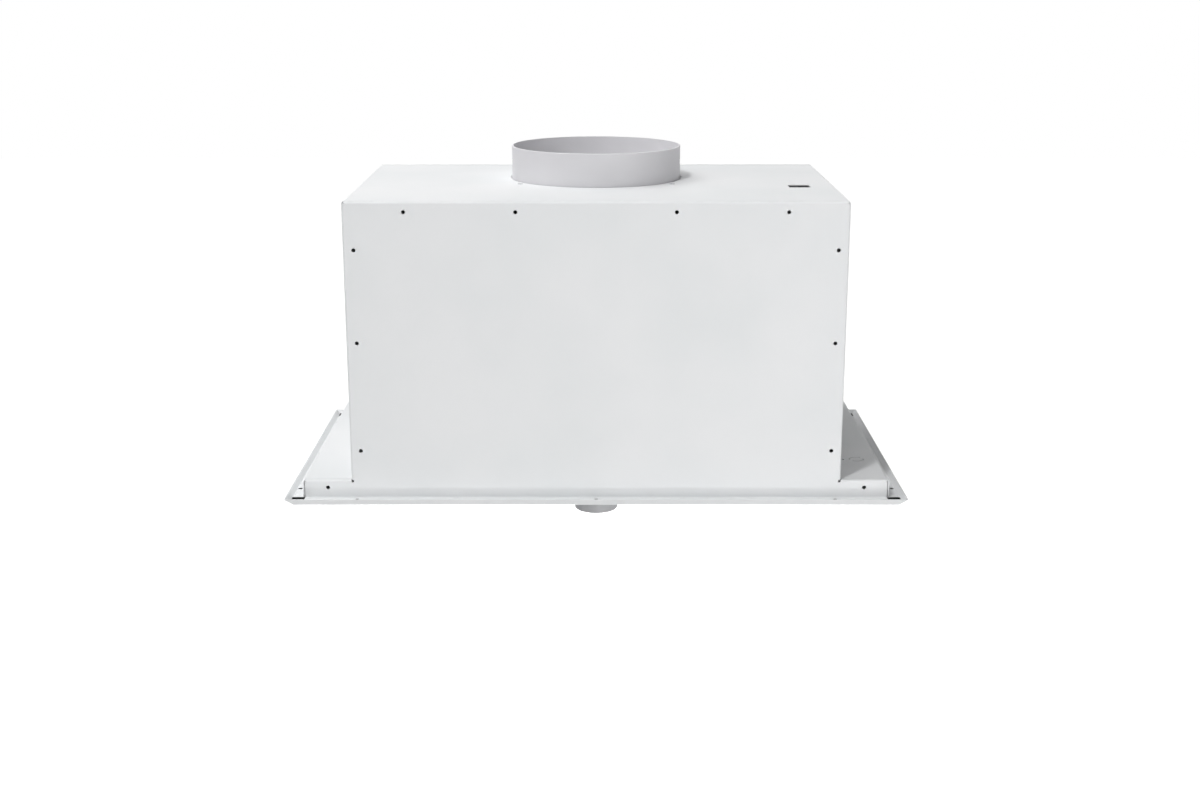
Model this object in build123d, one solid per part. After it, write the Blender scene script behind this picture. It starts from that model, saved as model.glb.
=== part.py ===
from build123d import *
import math
import os

os.makedirs("parts", exist_ok=True)

# Built-in range hood: a folded steel canopy that hangs in a cabinet's cut-out, with its blower inside.
# Millimetres. X runs along the width, Y from the cook to the wall, Z up. The origin is the centre of
# the fixing pattern, on the upper face of the flange that is screwed up against the cabinet.

# Casing sheet
SHEET = 1.0  # thickness
BEND = 1.0  # inner radius of a fold
FOLD_BACK = 14.0  # depth of the folded edges of the front and rear panels
FOLD_FIT = 0.1  # room between a folded edge and the sheet around it
FOLD_LAND = 0.6  # a folded edge lies level with the wrap this far, then ducks under it
STRIP_SETBACK = 0.6  # the flange strips end this far behind the panels' faces
APRON_GAP = 0.6  # slit between an apron's end and the wing's side wall
RELIEF_R = 2.2  # round relief where the body's fold meets the wing's

# Casing, outside sizes
BODY_W = 410.0
BODY_D = 260.0
BODY_H = 249.0  # top plate above the flange
WING_OUT = 41.0  # width of each wing beside the body
WING_H = 15.0

# Trim pan with its flared lip
TRIM_OUT_X = 14.0  # the lip stands out this far beyond the wings
TRIM_OUT_Y = 15.0  # and this far beyond the front and rear panels
TRIM_SHEET = 0.8
LIP_H = 6.6  # height of the 45 degree lip
LIP_ABOVE = 2.6  # the lip's edge stands this far above the flange
STRIP_GAP = 0.1  # room between the flange strips' lower edge and the lip
ANGLE_FOOT = 8.0  # foot of the angles that carry the pan
ANGLE_SHORT_SIDE = 30.0  # the side angles end this far from the body's corners
ANGLE_SHORT_REAR = 15.0
ANGLE_FOOT_REAR = 11.0
ANGLE_ROOM = 1.0  # an angle's upright ends this far under the wing's top

# Fixing holes in the flange and in the panels
FLANGE_HOLE_R = 2.1
FLANGE_HOLE_IN = 2.6
FLANGE_HOLE_PITCH = 106.0
END_HOLE_SIDE = 4.8  # inside the body's side
END_HOLE_IN = 4.7
PANEL_HOLE_R = 1.65
TOP_HOLE_DROP = 8.5
TOP_HOLE_X = 65.0
TOP_HOLE_SIDE = 49.7
SIDE_HOLE_IN = 8.7
SIDE_HOLE_Z = (209.5, 132.4, 40.5)
APRON_HOLE_IN = 21.0
APRON_HOLE_Z = 8.5

# Cable outlet in the top plate, and the knock-out and screw hole in the right wing
SLOT_SIDE, SLOT_Y = 30.6, -33.4
SLOT_W, SLOT_L = 18.4, 16.0
WING_HOLE_OUT, WING_HOLE_Y = 10.2, -69.8
KNOCKOUT_OUT, KNOCKOUT_Y = 22.4, -69.2
KNOCKOUT_R = 6.3
KNOCKOUT_SLIT = 0.8
KNOCKOUT_BRIDGE = 30.0  # degrees of sheet left at each side of the knock-out

# Duct collar with its non-return flaps
COLLAR_R = 75.0  # outside radius of the spigot
COLLAR_WALL = 1.4
COLLAR_H = 28.6  # above the top plate
COLLAR_Y = 31.5
COLLAR_GAP = 1.5  # slit around the spigot in the top plate
COLLAR_FLANGE_R = 92.0
COLLAR_FLANGE_T = 2.0
COLLAR_FLANGE_ROOM = 0.5  # between the flange's flat and the rear panel's top fold
COLLAR_RIM = 0.5
LEDGE_W = 3.0  # ring inside the spigot that the flaps close on
LEDGE_T = 1.4
RIVET_PITCH_R = 83.5
RIVET_ANGLES = (38.0, 142.0, 218.0, 322.0)
RIVET_R = 1.5
RIVET_FIT = 0.1
RIVET_HEAD_R = 2.5
RIVET_HEAD_H = 0.9
FLAP_T = 1.0
FLAP_SEAT = 0.2  # room between a closed flap and the ledge
FLAP_GAP = 1.0  # room between a flap's rim and the spigot
FLAP_SPLIT = 1.0  # half the slit between the two flaps
PIN_R = 1.5
PIN_FIT = 0.05
KNUCKLE_R = 2.5
KNUCKLE_LEN = 12.0
KNUCKLE_ROOM = 0.5
LUG_ROOM = 1.0
LUG_LEN = 7.0
LUG_W = 8.0
KNUCKLE_STARTS = (-52.0, -26.0, 14.0, 40.0)

# Blower: a double-inlet steel wheel in a volute that is drawn with four arcs about a small square
BLOWER_Y = 0.0
BLOWER_Z = 122.0
WHEEL_R = 70.0
WHEEL_HALF = 66.0
BLADE_COUNT = 36
BLADE_DEPTH = 13.0  # from a blade's root to its tip
BLADE_LEAD = 6.5  # degrees that a blade's tip is ahead of its root
BLADE_BOW = 1.2  # degrees that its middle is ahead
BLADE_T = 0.6
BLADE_FIT = 0.02
DISC_T = 1.2
HUB_R = 12.0
HUB_BACK = 10.0
HUB_FRONT = 2.0
END_RING_IN = 4.0
END_RING_OUT = 0.5
END_RING_T = 1.5
VOLUTE_GAP = 6.0
VOLUTE_STEP = 8.4
TONGUE_ANGLE = 62.0
TONGUE_NOSE_R = 3.0
SCROLL_HALF = 72.0
SCROLL_WALL = 2.0
SCROLL_RIM = 5.0
SCROLL_RIM_T = 2.5
OUTLET_Z = 210.0
OUTLET_FLANGE = 8.0
OUTLET_FLANGE_T = 2.5
INLET_R = 54.0
BELL_W = 6.0
BELL_IN = 4.0
BELL_OUT = 2.0
BELL_ROUND = 4.0
EAR_R = 5.5
EAR_ANGLES = (105.0, 150.0, 195.0, 240.0, 285.0, 330.0)
ADAPTER_WALL = 1.2
ADAPTER_FLANGE_T = 1.5
ADAPTER_CORNER = 6.0
ADAPTER_TOP_IN = 1.6  # the adapter's mouth is this much smaller than the spigot's bore
ADAPTER_RIM_OUT = 5.5  # its top flange reaches this far past the rivets

# Motor, held at the right inlet by three arms on rubber bushes
MOTOR_R = 43.0
MOTOR_LEN = 66.0
MOTOR_ROUND = 5.0
MOTOR_BEAD_R = 45.0
MOTOR_BEAD_T = 2.4
MOTOR_BOSS_R = 12.0
MOTOR_BOSS_H = 4.0
SHAFT_R = 4.0
SHAFT_FIT = 0.05
HUB_FIT = 0.02
ARM_COUNT = 3
ARM_T = 2.0
ARM_W = 14.0
ARM_RING_R = 30.0
ARM_BORE_FIT = 1.0
BUSH_PITCH_R = 66.0
BUSH_R = 5.0
BUSH_H = 3.0
ARM_END = 7.0

# Machine screws, used in the blower
SCREW_R = 2.0
SCREW_FIT = 0.1
SCREW_HEAD_R = 3.6
SCREW_HEAD_H = 2.2
SCREW_DRIVE_R = 1.2
SCREW_DRIVE_DEPTH = 1.2

# Electrical parts on the right side wall
BOX_Y, BOX_Z = -25.0, 162.0
BOX_W, BOX_H, BOX_DEPTH = 90.0, 66.0, 32.0
BOX_WALL = 2.0
BOX_CORNER = 4.0
BLOCK_W, BLOCK_H, BLOCK_DEPTH = 48.0, 16.0, 14.0
BLOCK_WAYS = 5
BLOCK_WELL_R = 2.6
BLOCK_WELL_DEPTH = 6.0
CAP_R = 17.5
CAP_LEN = 64.0
CAP_Y, CAP_Z = -25.0, 95.0
CAP_TAG_R = 5.0
CAP_TAG_H = 4.0
STRAP_T = 0.8
STRAP_W = 14.0
STRAP_FOOT = 9.0

# Control housing over the front strip of the pan
HOUSING_SIDE = 9.0  # room between the housing's end and the body's side
HOUSING_D = 57.0
HOUSING_H = 33.0
HOUSING_SHEET = 0.8
HOUSING_FOOT = 6.0
DRIVER_SIDE = 130.0  # inside the body's side
DRIVER_W, DRIVER_D, DRIVER_H = 70.0, 28.0, 18.0
DRIVER_ROUND = 2.0

# Rotary knob, its switch and the push action for the lamps
KNOB_IN = 32.0  # behind the front panel
KNOB_R = 18.4
KNOB_BELOW = 15.2  # the knob's face under the pan
KNOB_LIFT = 2.5  # gap between the pan and the knob's rim
KNOB_WALL = 1.8
KNOB_FACE = 2.2
KNOB_EDGE = 1.4
KNOB_BOSS_R = 5.6
KNOB_BOSS_DROP = 4.6
KNOB_MARK_W = 1.6
KNOB_MARK_LEN = 9.0
KNOB_MARK_DEPTH = 0.6
SPINDLE_R = 3.0
SPINDLE_FLAT = 2.2
SPINDLE_FIT = 0.05
SPINDLE_SINK = 1.2  # the spindle's end stands this far off the knob's face
SWITCH_W = 28.0
SWITCH_H = 15.0
SWITCH_BASE = 1.6
SWITCH_COVER = 1.2
BUSH_THREAD_R = 4.5
BUSH_DROP = 4.5
BUSH_HOLE_FIT = 0.3
NUT_AF = 12.0
NUT_H = 2.2
ROTOR_R = 9.0
ROTOR_ROOF = 1.2
ROTOR_FIT = 0.05
ROTOR_REST = 0.1
SPRING_ROOM = 3.0
SPRING_T = 0.3
SPRING_R = 2.0
SPRING_TIP_R = 0.9

# Lamps
LAMP_SIDE = 55.0
LAMP_R = 23.0
LAMP_LIP = 1.2
LAMP_SLEEVE_R = 20.8
LAMP_SLEEVE_H = 9.0
LAMP_WALL = 1.3
LAMP_FIT = 0.2
LENS_T = 2.0
LENS_SET = 0.6
SINK_R = 19.3
SINK_BASE = 4.0
SINK_H = 15.0
FIN_COUNT = 7
FIN_T = 1.6

# Grease filters, each tilting about the rear edge of its opening
FILTER_SIDE_IN = 25.0  # from the lip's edge
FILTER_FRONT_IN = 71.0  # from the front panel
FILTER_REAR_IN = 22.0  # from the rear panel to the rear of the opening
FILTER_T = 9.0
FILTER_GAP = 1.0
FILTER_BAR = 12.0
FILTER_CORNER = 3.0
FRAME_SHEET = 0.8
FRAME_LEG = 8.0
TONGUE_W = 20.0
TONGUE_T = 1.2
TONGUE_REACH = 7.0
TONGUE_LIFT = 0.2
TONGUE_X = 70.0
GRILLE_T = 0.6
GRILLE_PITCH = 21.0
GRILLE_BAR = 2.4
GRILLE_COLS, GRILLE_ROWS = 10, 7
PACK_FIT = 0.2
MESH_PITCH = 9.0
MESH_T = 0.7  # upright thickness of the corrugated sheet
HANDLE_W = 74.0
HANDLE_D = 26.0
HANDLE_WALL = 1.4
HANDLE_GRIP = 9.0
HANDLE_BAR_T = 2.0
HANDLE_CORNER = 4.0
HANDLE_SET = 9.0
CLIP_X = 80.0
CLIP_W = 14.0
CLIP_T = 0.5
CLIP_REACH = 3.4
CLIP_APEX = 2.6
CLIP_TOP = 7.4
CLIP_ROOT = 5.4
CLIP_LEG = 1.0

# Places that follow from the sizes above
UNDERSIDE = LIP_ABOVE - LIP_H
FLOOR = UNDERSIDE + TRIM_SHEET
LIP_LAND = TRIM_SHEET * math.sqrt(2)
WING_W = BODY_W + 2 * WING_OUT
TRIM_W = WING_W + 2 * TRIM_OUT_X
TRIM_D = BODY_D + 2 * TRIM_OUT_Y
LIP_TO_STRIP = LIP_ABOVE + SHEET + LIP_LAND + STRIP_GAP
STRIP_X = TRIM_W / 2 - LIP_TO_STRIP
STRIP_Y = TRIM_D / 2 - LIP_TO_STRIP
SIDE = BODY_W / 2
FRONT = -BODY_D / 2
SIDE_INNER = SIDE - SHEET
TOP_INNER = BODY_H - SHEET
COLLAR_BASE = TOP_INNER - COLLAR_FLANGE_T
OUTER_BEND = BEND + SHEET
FOLD_STEP = SHEET + FOLD_FIT
WRAP_SETBACK = OUTER_BEND + FOLD_LAND + FOLD_STEP
WING_FLAT = WING_W / 2 - OUTER_BEND
FILTER_REAR = BODY_D / 2 - FILTER_REAR_IN
FILTER_FRONT = FRONT + FILTER_FRONT_IN
FILTER_W = TRIM_W / 2 - FILTER_SIDE_IN - FILTER_BAR / 2 - FILTER_GAP
FILTER_L = FILTER_REAR - FILTER_GAP - FILTER_FRONT
FILTER_X = FILTER_BAR / 2 + FILTER_GAP + FILTER_W / 2
FILTER_Y = FILTER_FRONT + FILTER_L / 2
HANDLE_Y = FILTER_FRONT + HANDLE_SET + HANDLE_D / 2
PIN_Z = COLLAR_BASE + COLLAR_FLANGE_T + LEDGE_T + FLAP_SEAT + KNUCKLE_R
BLADE_ROOT_R = WHEEL_R - BLADE_DEPTH
BLADE_MID_R = WHEEL_R - BLADE_DEPTH / 2
SCROLL_FACE = SCROLL_HALF + SCROLL_WALL
ARM_FACE = SCROLL_FACE + BUSH_H
KNOB_Y = FRONT + KNOB_IN
KNOB_FACE_Z = UNDERSIDE - KNOB_BELOW
KNOB_RIM_Z = UNDERSIDE - KNOB_LIFT
ROTOR_Z = FLOOR + SWITCH_BASE + ROTOR_REST
ROTOR_TOP = FLOOR + SWITCH_H - ROTOR_REST
SPINDLE_TOP = ROTOR_TOP - ROTOR_ROOF - SPRING_ROOM


def block(x0, x1, y0, y1, z0, z1):
    """A rectangular block between two corners."""
    centre = Pos((x0 + x1) / 2, (y0 + y1) / 2, (z0 + z1) / 2)
    return centre * Box(x1 - x0, y1 - y0, z1 - z0)


def rod(radius, start, end, axis):
    """A round bar between two levels along one axis, through the origin of the other two."""
    turn = {"X": Rot(Y=90), "Y": Rot(X=-90), "Z": Rot(0, 0, 0)}[axis]
    return turn * Pos(0, 0, start) * extrude(Circle(radius), end - start)


def both_sides(shape):
    """The shape and its mirror image across the middle of the hood."""
    return [shape, mirror(shape, Plane.YZ)]


def polar(radius, degrees):
    """A point on a circle about the wheel's axis, in the plane of the volute."""
    angle = math.radians(degrees)
    return (radius * math.cos(angle), radius * math.sin(angle))


def machine_screw(length):
    """A pan-head screw that points down, its head's seat at the origin."""
    head = Cylinder(SCREW_HEAD_R, SCREW_HEAD_H, align=(Align.CENTER, Align.CENTER, Align.MIN))
    drive_align = (Align.CENTER, Align.CENTER, Align.MAX)
    drive = Pos(0, 0, SCREW_HEAD_H) * Cylinder(SCREW_DRIVE_R, SCREW_DRIVE_DEPTH, align=drive_align)
    return head - drive + Cylinder(SCREW_R, length, align=drive_align)


def fold(length, run):
    """A folded edge: it leaves a panel along local X, bends, and follows a run of points along local Y."""
    outline = [
        CenterArc((0, OUTER_BEND), OUTER_BEND, -90, 90),
        Polyline((OUTER_BEND, OUTER_BEND), *run, (BEND, OUTER_BEND)),
        CenterArc((0, OUTER_BEND), BEND, 0, -90),
        Line((0, SHEET), (0, 0)),
    ]
    return extrude(make_face(outline), length / 2, both=True)


def straight_run(depth):
    """Run of a fold that goes straight back."""
    return [(OUTER_BEND, depth), (BEND, depth)]


def stepped_run():
    """Run of a fold that lies level with the wrap at its edge, and then steps in to lie under it."""
    low = OUTER_BEND - FOLD_STEP
    duck = OUTER_BEND + FOLD_LAND
    inner_duck = duck - SHEET * math.tan(math.radians(45 / 2))
    return [
        (OUTER_BEND, duck),
        (low, duck + FOLD_STEP),
        (low, FOLD_BACK),
        (low - SHEET, FOLD_BACK),
        (low - SHEET, inner_duck + FOLD_STEP),
        (BEND, inner_duck),
    ]


def casing_wrap():
    """Top, side walls, wings and side flanges: one strip of sheet, folded like a hat."""
    half = [
        (STRIP_X, 0),
        (WING_W / 2, 0),
        (WING_W / 2, WING_H),
        (BODY_W / 2, WING_H),
        (BODY_W / 2, BODY_H),
    ]
    points = half + [(-x, z) for x, z in reversed(half)]
    radii = [BEND, OUTER_BEND, BEND, OUTER_BEND]
    face_line = FilletPolyline(*points, radius=radii + radii[::-1])
    section = make_face(offset(face_line, amount=SHEET, side=Side.LEFT, closed=True))
    wrap = extrude(Plane.XZ * section, BODY_D / 2 - STRIP_SETBACK, both=True)
    setback = block(-WING_FLAT, WING_FLAT, FRONT, FRONT + WRAP_SETBACK, 0, BODY_H + SHEET)

    top_cut = Pos(0, COLLAR_Y, TOP_INNER) * Cylinder(COLLAR_R + COLLAR_GAP, 4 * SHEET)
    slot = Pos(SIDE - SLOT_SIDE, SLOT_Y, TOP_INNER) * Box(SLOT_W, SLOT_L, 4 * SHEET)
    rivets = [Pos(0, 0, TOP_INNER) * hole for hole in rivet_holes(4 * SHEET)]
    wing_hole = Pos(SIDE + WING_HOLE_OUT, WING_HOLE_Y, WING_H) * Cylinder(PANEL_HOLE_R, 4 * SHEET)
    flange_hole = Cylinder(FLANGE_HOLE_R, 4 * SHEET)
    rows = [Pos(STRIP_X - FLANGE_HOLE_IN, row * FLANGE_HOLE_PITCH) for row in (-1, 0, 1)]
    strip_holes = [hole for row in rows for hole in both_sides(row * flange_hole)]
    setbacks = [setback, Rot(Z=180) * setback]
    return wrap - [*setbacks, top_cut, slot, wing_hole, *rivets, *strip_holes, *knockout_slits()]


def knockout_slits():
    """Two arc slits that leave a knock-out held by two bridges."""
    ring = Circle(KNOCKOUT_R) - Circle(KNOCKOUT_R - KNOCKOUT_SLIT)
    bridge_w = KNOCKOUT_R * math.sin(math.radians(KNOCKOUT_BRIDGE))
    bridge = Rot(Z=KNOCKOUT_BRIDGE) * Rectangle(4 * KNOCKOUT_R, bridge_w)
    slits = extrude(ring - bridge, 2 * SHEET, both=True)
    return [Pos(SIDE + KNOCKOUT_OUT, KNOCKOUT_Y, WING_H) * slit for slit in slits.solids()]


def front_panel():
    """Front of the body with the aprons of both wings: one T-shaped sheet with folded edges."""
    apron_end = WING_W / 2 - SHEET - APRON_GAP
    foot = OUTER_BEND - SHEET
    edge, wing_edge, top_edge = SIDE - OUTER_BEND, WING_H - OUTER_BEND, BODY_H - OUTER_BEND
    outline = [(apron_end, foot), (apron_end, wing_edge), (edge, wing_edge), (edge, top_edge)]
    outline += [(-x, z) for x, z in reversed(outline)]
    plate = extrude(Plane.XZ.offset(-FRONT) * make_face(Polyline(*outline, close=True)), -SHEET)

    side_place = Plane((edge, FRONT, (WING_H + top_edge) / 2), x_dir=(1, 0, 0), z_dir=(0, 0, 1))
    wing_end = WING_FLAT - FOLD_FIT
    wing_place = Plane(((SIDE + wing_end) / 2, FRONT, wing_edge), x_dir=(0, 0, 1), z_dir=(-1, 0, 0))
    top_place = Plane((0, FRONT, top_edge), x_dir=(0, 0, 1), z_dir=(-1, 0, 0))
    foot_place = Plane((0, FRONT + SHEET, foot), x_dir=(0, 0, -1), z_dir=(-1, 0, 0))
    folds = both_sides(side_place * fold(top_edge - WING_H, stepped_run()))
    folds += both_sides(wing_place * fold(wing_end - SIDE, stepped_run()))
    folds.append(top_place * fold(2 * edge, stepped_run()))
    folds.append(foot_place * fold(2 * apron_end, straight_run(STRIP_Y + FRONT + SHEET)))

    panel = plate + folds
    level, back = FRONT + OUTER_BEND, FRONT + FOLD_BACK + SHEET
    relief = rod(RELIEF_R, FRONT + BEND, back, "Y")
    mitre = block(edge - FOLD_STEP, SIDE, level, back, top_edge - FOLD_STEP, BODY_H)
    reliefs = both_sides(Pos(SIDE - FOLD_STEP, 0, WING_H - FOLD_STEP) * relief) + both_sides(mitre)
    flange_y = -(STRIP_Y - END_HOLE_IN)
    flange_hole = Cylinder(FLANGE_HOLE_R, 4 * SHEET)
    end_x = SIDE - END_HOLE_SIDE
    flange_holes = [Pos(x, flange_y) * flange_hole for x in (-end_x, 0, end_x)]
    return panel - [*reliefs, *flange_holes, *panel_holes()]


def panel_holes():
    """The open fixing holes along the edges of a front or rear panel."""
    spots = [(x, BODY_H - TOP_HOLE_DROP) for x in (TOP_HOLE_X, SIDE - TOP_HOLE_SIDE)]
    spots += [(BODY_W / 2 - SIDE_HOLE_IN, z) for z in SIDE_HOLE_Z]
    spots.append((WING_W / 2 - APRON_HOLE_IN, APRON_HOLE_Z))
    drill = rod(PANEL_HOLE_R, FRONT - SHEET, FRONT + 2 * SHEET, "Y")
    return [hole for x, z in spots for hole in both_sides(Pos(x, 0, z) * drill)]


def rear_panel():
    """Rear of the casing, the front panel's twin turned to face the wall."""
    return Rot(Z=180) * front_panel()


def lip_block(inset, low, high):
    """Block inside the lip's 45 degree faces, which are moved in by an inset, between two levels."""
    levels = []
    for z in (low, high):
        margin = LIP_ABOVE - z + inset
        levels.append(Pos(0, 0, z) * Rectangle(TRIM_W - 2 * margin, TRIM_D - 2 * margin))
    return loft(levels, ruled=True)


def trim_pan():
    """Visible underside: a shallow pan with a flared lip that hides the edge of the cut-out."""
    pan = lip_block(0, UNDERSIDE, LIP_ABOVE) - lip_block(LIP_LAND, FLOOR, LIP_ABOVE)
    through = 4 * TRIM_SHEET
    opening_w, opening_l = FILTER_W + 2 * FILTER_GAP, FILTER_L + 2 * FILTER_GAP
    openings = both_sides(Pos(FILTER_X, FILTER_Y, FLOOR) * Box(opening_w, opening_l, through))
    lamp_hole = Cylinder(LAMP_SLEEVE_R + LAMP_FIT, through)
    lamp_holes = both_sides(Pos(SIDE - LAMP_SIDE, KNOB_Y, FLOOR) * lamp_hole)
    bush_hole = Pos(0, KNOB_Y, FLOOR) * Cylinder(BUSH_THREAD_R + BUSH_HOLE_FIT, through)
    return pan - [*openings, *lamp_holes, bush_hole]


def trim_angles():
    """Three folded angles, spot-welded to the pan and to the casing's side walls and rear panel."""
    wall = WING_W / 2 - SHEET
    top = WING_H - SHEET - ANGLE_ROOM
    half = BODY_D / 2 - ANGLE_SHORT_SIDE
    upright = block(wall - SHEET, wall, -half, half, FLOOR, top)
    side = upright + block(wall - ANGLE_FOOT, wall, -half, half, FLOOR, FLOOR + SHEET)
    back = BODY_D / 2 - SHEET
    half = SIDE - ANGLE_SHORT_REAR
    rear = block(-half, half, back - SHEET, back, FLOOR, top)
    rear += block(-half, half, back - ANGLE_FOOT_REAR, back, FLOOR, FLOOR + SHEET)
    return Compound(children=[*both_sides(side), rear])


def rivet_spots():
    """Where the collar is riveted to the top plate."""
    spots = [polar(RIVET_PITCH_R, angle) for angle in RIVET_ANGLES]
    return [(x, COLLAR_Y + y) for x, y in spots]


def rivet_holes(depth):
    """Drills for the collar's rivets, centred on the height of the origin."""
    return [Pos(x, y) * Cylinder(RIVET_R + RIVET_FIT, depth) for x, y in rivet_spots()]


def duct_collar():
    """Moulded spigot: its flange lies under the top plate, and a ledge inside carries the flaps."""
    bore = COLLAR_R - COLLAR_WALL
    top = BODY_H + COLLAR_H
    collar = rod(COLLAR_R, COLLAR_BASE, top, "Z")
    collar = fillet(collar.faces().sort_by(Axis.Z)[-1].edges(), COLLAR_RIM)
    collar += rod(COLLAR_FLANGE_R, COLLAR_BASE, TOP_INNER, "Z")
    flat = BODY_D / 2 - FOLD_BACK - COLLAR_FLANGE_ROOM - COLLAR_Y
    reach = COLLAR_FLANGE_R
    collar -= block(-reach, reach, flat, flat + reach, COLLAR_BASE - 1, TOP_INNER)
    collar -= rod(bore - LEDGE_W, COLLAR_BASE, top, "Z")
    collar -= rod(bore, TOP_INNER + LEDGE_T, top, "Z")
    lug_low = TOP_INNER + LEDGE_T
    lug = block(bore - LUG_LEN, bore + COLLAR_WALL / 2, -LUG_W / 2, LUG_W / 2, lug_low, PIN_Z + KNUCKLE_R)
    collar += both_sides(lug)
    pin_hole = Pos(0, 0, PIN_Z) * rod(PIN_R + PIN_FIT, -bore + COLLAR_WALL, bore - COLLAR_WALL, "X")
    drills = [Pos(0, 0, COLLAR_BASE) * hole for hole in rivet_holes(4 * COLLAR_FLANGE_T)]
    return Pos(0, COLLAR_Y) * (collar - pin_hole) - drills


def collar_rivets():
    """Blind rivets through the top plate, the collar's flange and the adapter's flange."""
    tail = COLLAR_BASE - ADAPTER_FLANGE_T
    dome = Cylinder(RIVET_HEAD_R, RIVET_HEAD_H, align=(Align.CENTER, Align.CENTER, Align.MIN))
    dome = fillet(dome.faces().sort_by(Axis.Z)[-1].edges(), RIVET_HEAD_H * 0.8)
    rivet = Pos(0, 0, BODY_H) * dome + rod(RIVET_R, tail - RIVET_HEAD_H, BODY_H, "Z")
    rivet += rod(RIVET_HEAD_R - RIVET_FIT, tail - RIVET_HEAD_H, tail, "Z")
    return Compound(children=[Pos(x, y) * rivet for x, y in rivet_spots()])


def flap_pin():
    """Steel pin across the collar that both flaps swing on."""
    half = COLLAR_R - 2 * COLLAR_WALL
    return Pos(0, COLLAR_Y, PIN_Z) * rod(PIN_R, -half, half, "X")


def knuckle_spans():
    """X ranges of the knuckles along the flap pin; the two flaps take them in turn."""
    return [(start, start + KNUCKLE_LEN) for start in KNUCKLE_STARTS]


def flap(first, facing):
    """Half-disc flap; first picks its knuckles, and facing is +1 for the rear flap, -1 for the front."""
    rim = COLLAR_R - COLLAR_WALL - FLAP_GAP
    low = PIN_Z - KNUCKLE_R
    lug_edge = COLLAR_R - COLLAR_WALL - LUG_LEN - LUG_ROOM
    plate = rod(rim, low, low + FLAP_T, "Z") & block(-rim, rim, FLAP_SPLIT, rim, low, low + FLAP_T)
    notch_depth = KNUCKLE_R + KNUCKLE_ROOM
    plate -= both_sides(block(lug_edge, COLLAR_R, 0, LUG_W / 2 + LUG_ROOM, low - 1, low + FLAP_T + 1))
    for index, (start, end) in enumerate(knuckle_spans()):
        if index % 2 == first:
            knuckle = Pos(0, 0, PIN_Z) * rod(KNUCKLE_R, start, end, "X")
            plate += knuckle + block(start, end, 0, notch_depth, low, low + FLAP_T)
        else:
            start, end = start - KNUCKLE_ROOM, end + KNUCKLE_ROOM
            plate -= block(start, end, 0, notch_depth, low - 1, low + FLAP_T + 1)
    plate -= Pos(0, 0, PIN_Z) * rod(PIN_R + PIN_FIT, -rim, rim, "X")
    return Pos(0, COLLAR_Y) * (plate if facing > 0 else mirror(plate, Plane.XZ))


def volute_arcs(extra=0.0):
    """Centre, radius and start angle of the volute's arcs, grown by an extra radius."""
    step = VOLUTE_STEP / 2
    first = WHEEL_R + VOLUTE_GAP + extra
    corners = [(-step, step), (-step, -step), (step, -step), (step, step)]
    starts = (TONGUE_ANGLE, 90.0, 180.0, 270.0)
    return [(c, first + i * VOLUTE_STEP, start) for i, (c, start) in enumerate(zip(corners, starts))]


def volute_point(degrees, extra):
    """A point beyond the volute's wall at an angle past the top."""
    index = int(degrees // 90)
    (cy, cz), radius, _ = volute_arcs(extra)[index]
    y, z = polar(radius, degrees)
    return (cy + y, cz + z)


def volute_face():
    """The air passage of the scroll, in the wheel's plane: four arcs and a straight outlet."""
    arcs = volute_arcs()
    ends = [90.0, 180.0, 270.0, 360.0]
    curves = [CenterArc(c, r, start, end - start) for (c, r, start), end in zip(arcs, ends)]
    outlet = OUTLET_Z - BLOWER_Z
    tongue = curves[0] @ 0
    back = curves[-1] @ 1
    lines = [
        Line((tongue.X, outlet), (tongue.X, tongue.Y)),
        Line((back.X, back.Y), (back.X, outlet)),
        Line((back.X, outlet), (tongue.X, outlet)),
    ]
    face = Sketch() + make_face([*curves, *lines])
    nose = face.vertices().sort_by_distance((tongue.X, tongue.Y, 0))[0]
    return fillet(nose, TONGUE_NOSE_R)


def outlet_range():
    """Lowest and highest Y of the scroll's outlet."""
    (cy, _), radius, start = volute_arcs()[0]
    (by, _), back_radius, _ = volute_arcs()[3]
    return BLOWER_Y + cy + radius * math.cos(math.radians(start)), BLOWER_Y + by + back_radius


def ear_spots():
    """Screw places round the scroll, on the edge of its joint rim, seen from the wheel's axis."""
    return [volute_point(angle, SCROLL_WALL + SCROLL_RIM) for angle in EAR_ANGLES]


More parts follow.
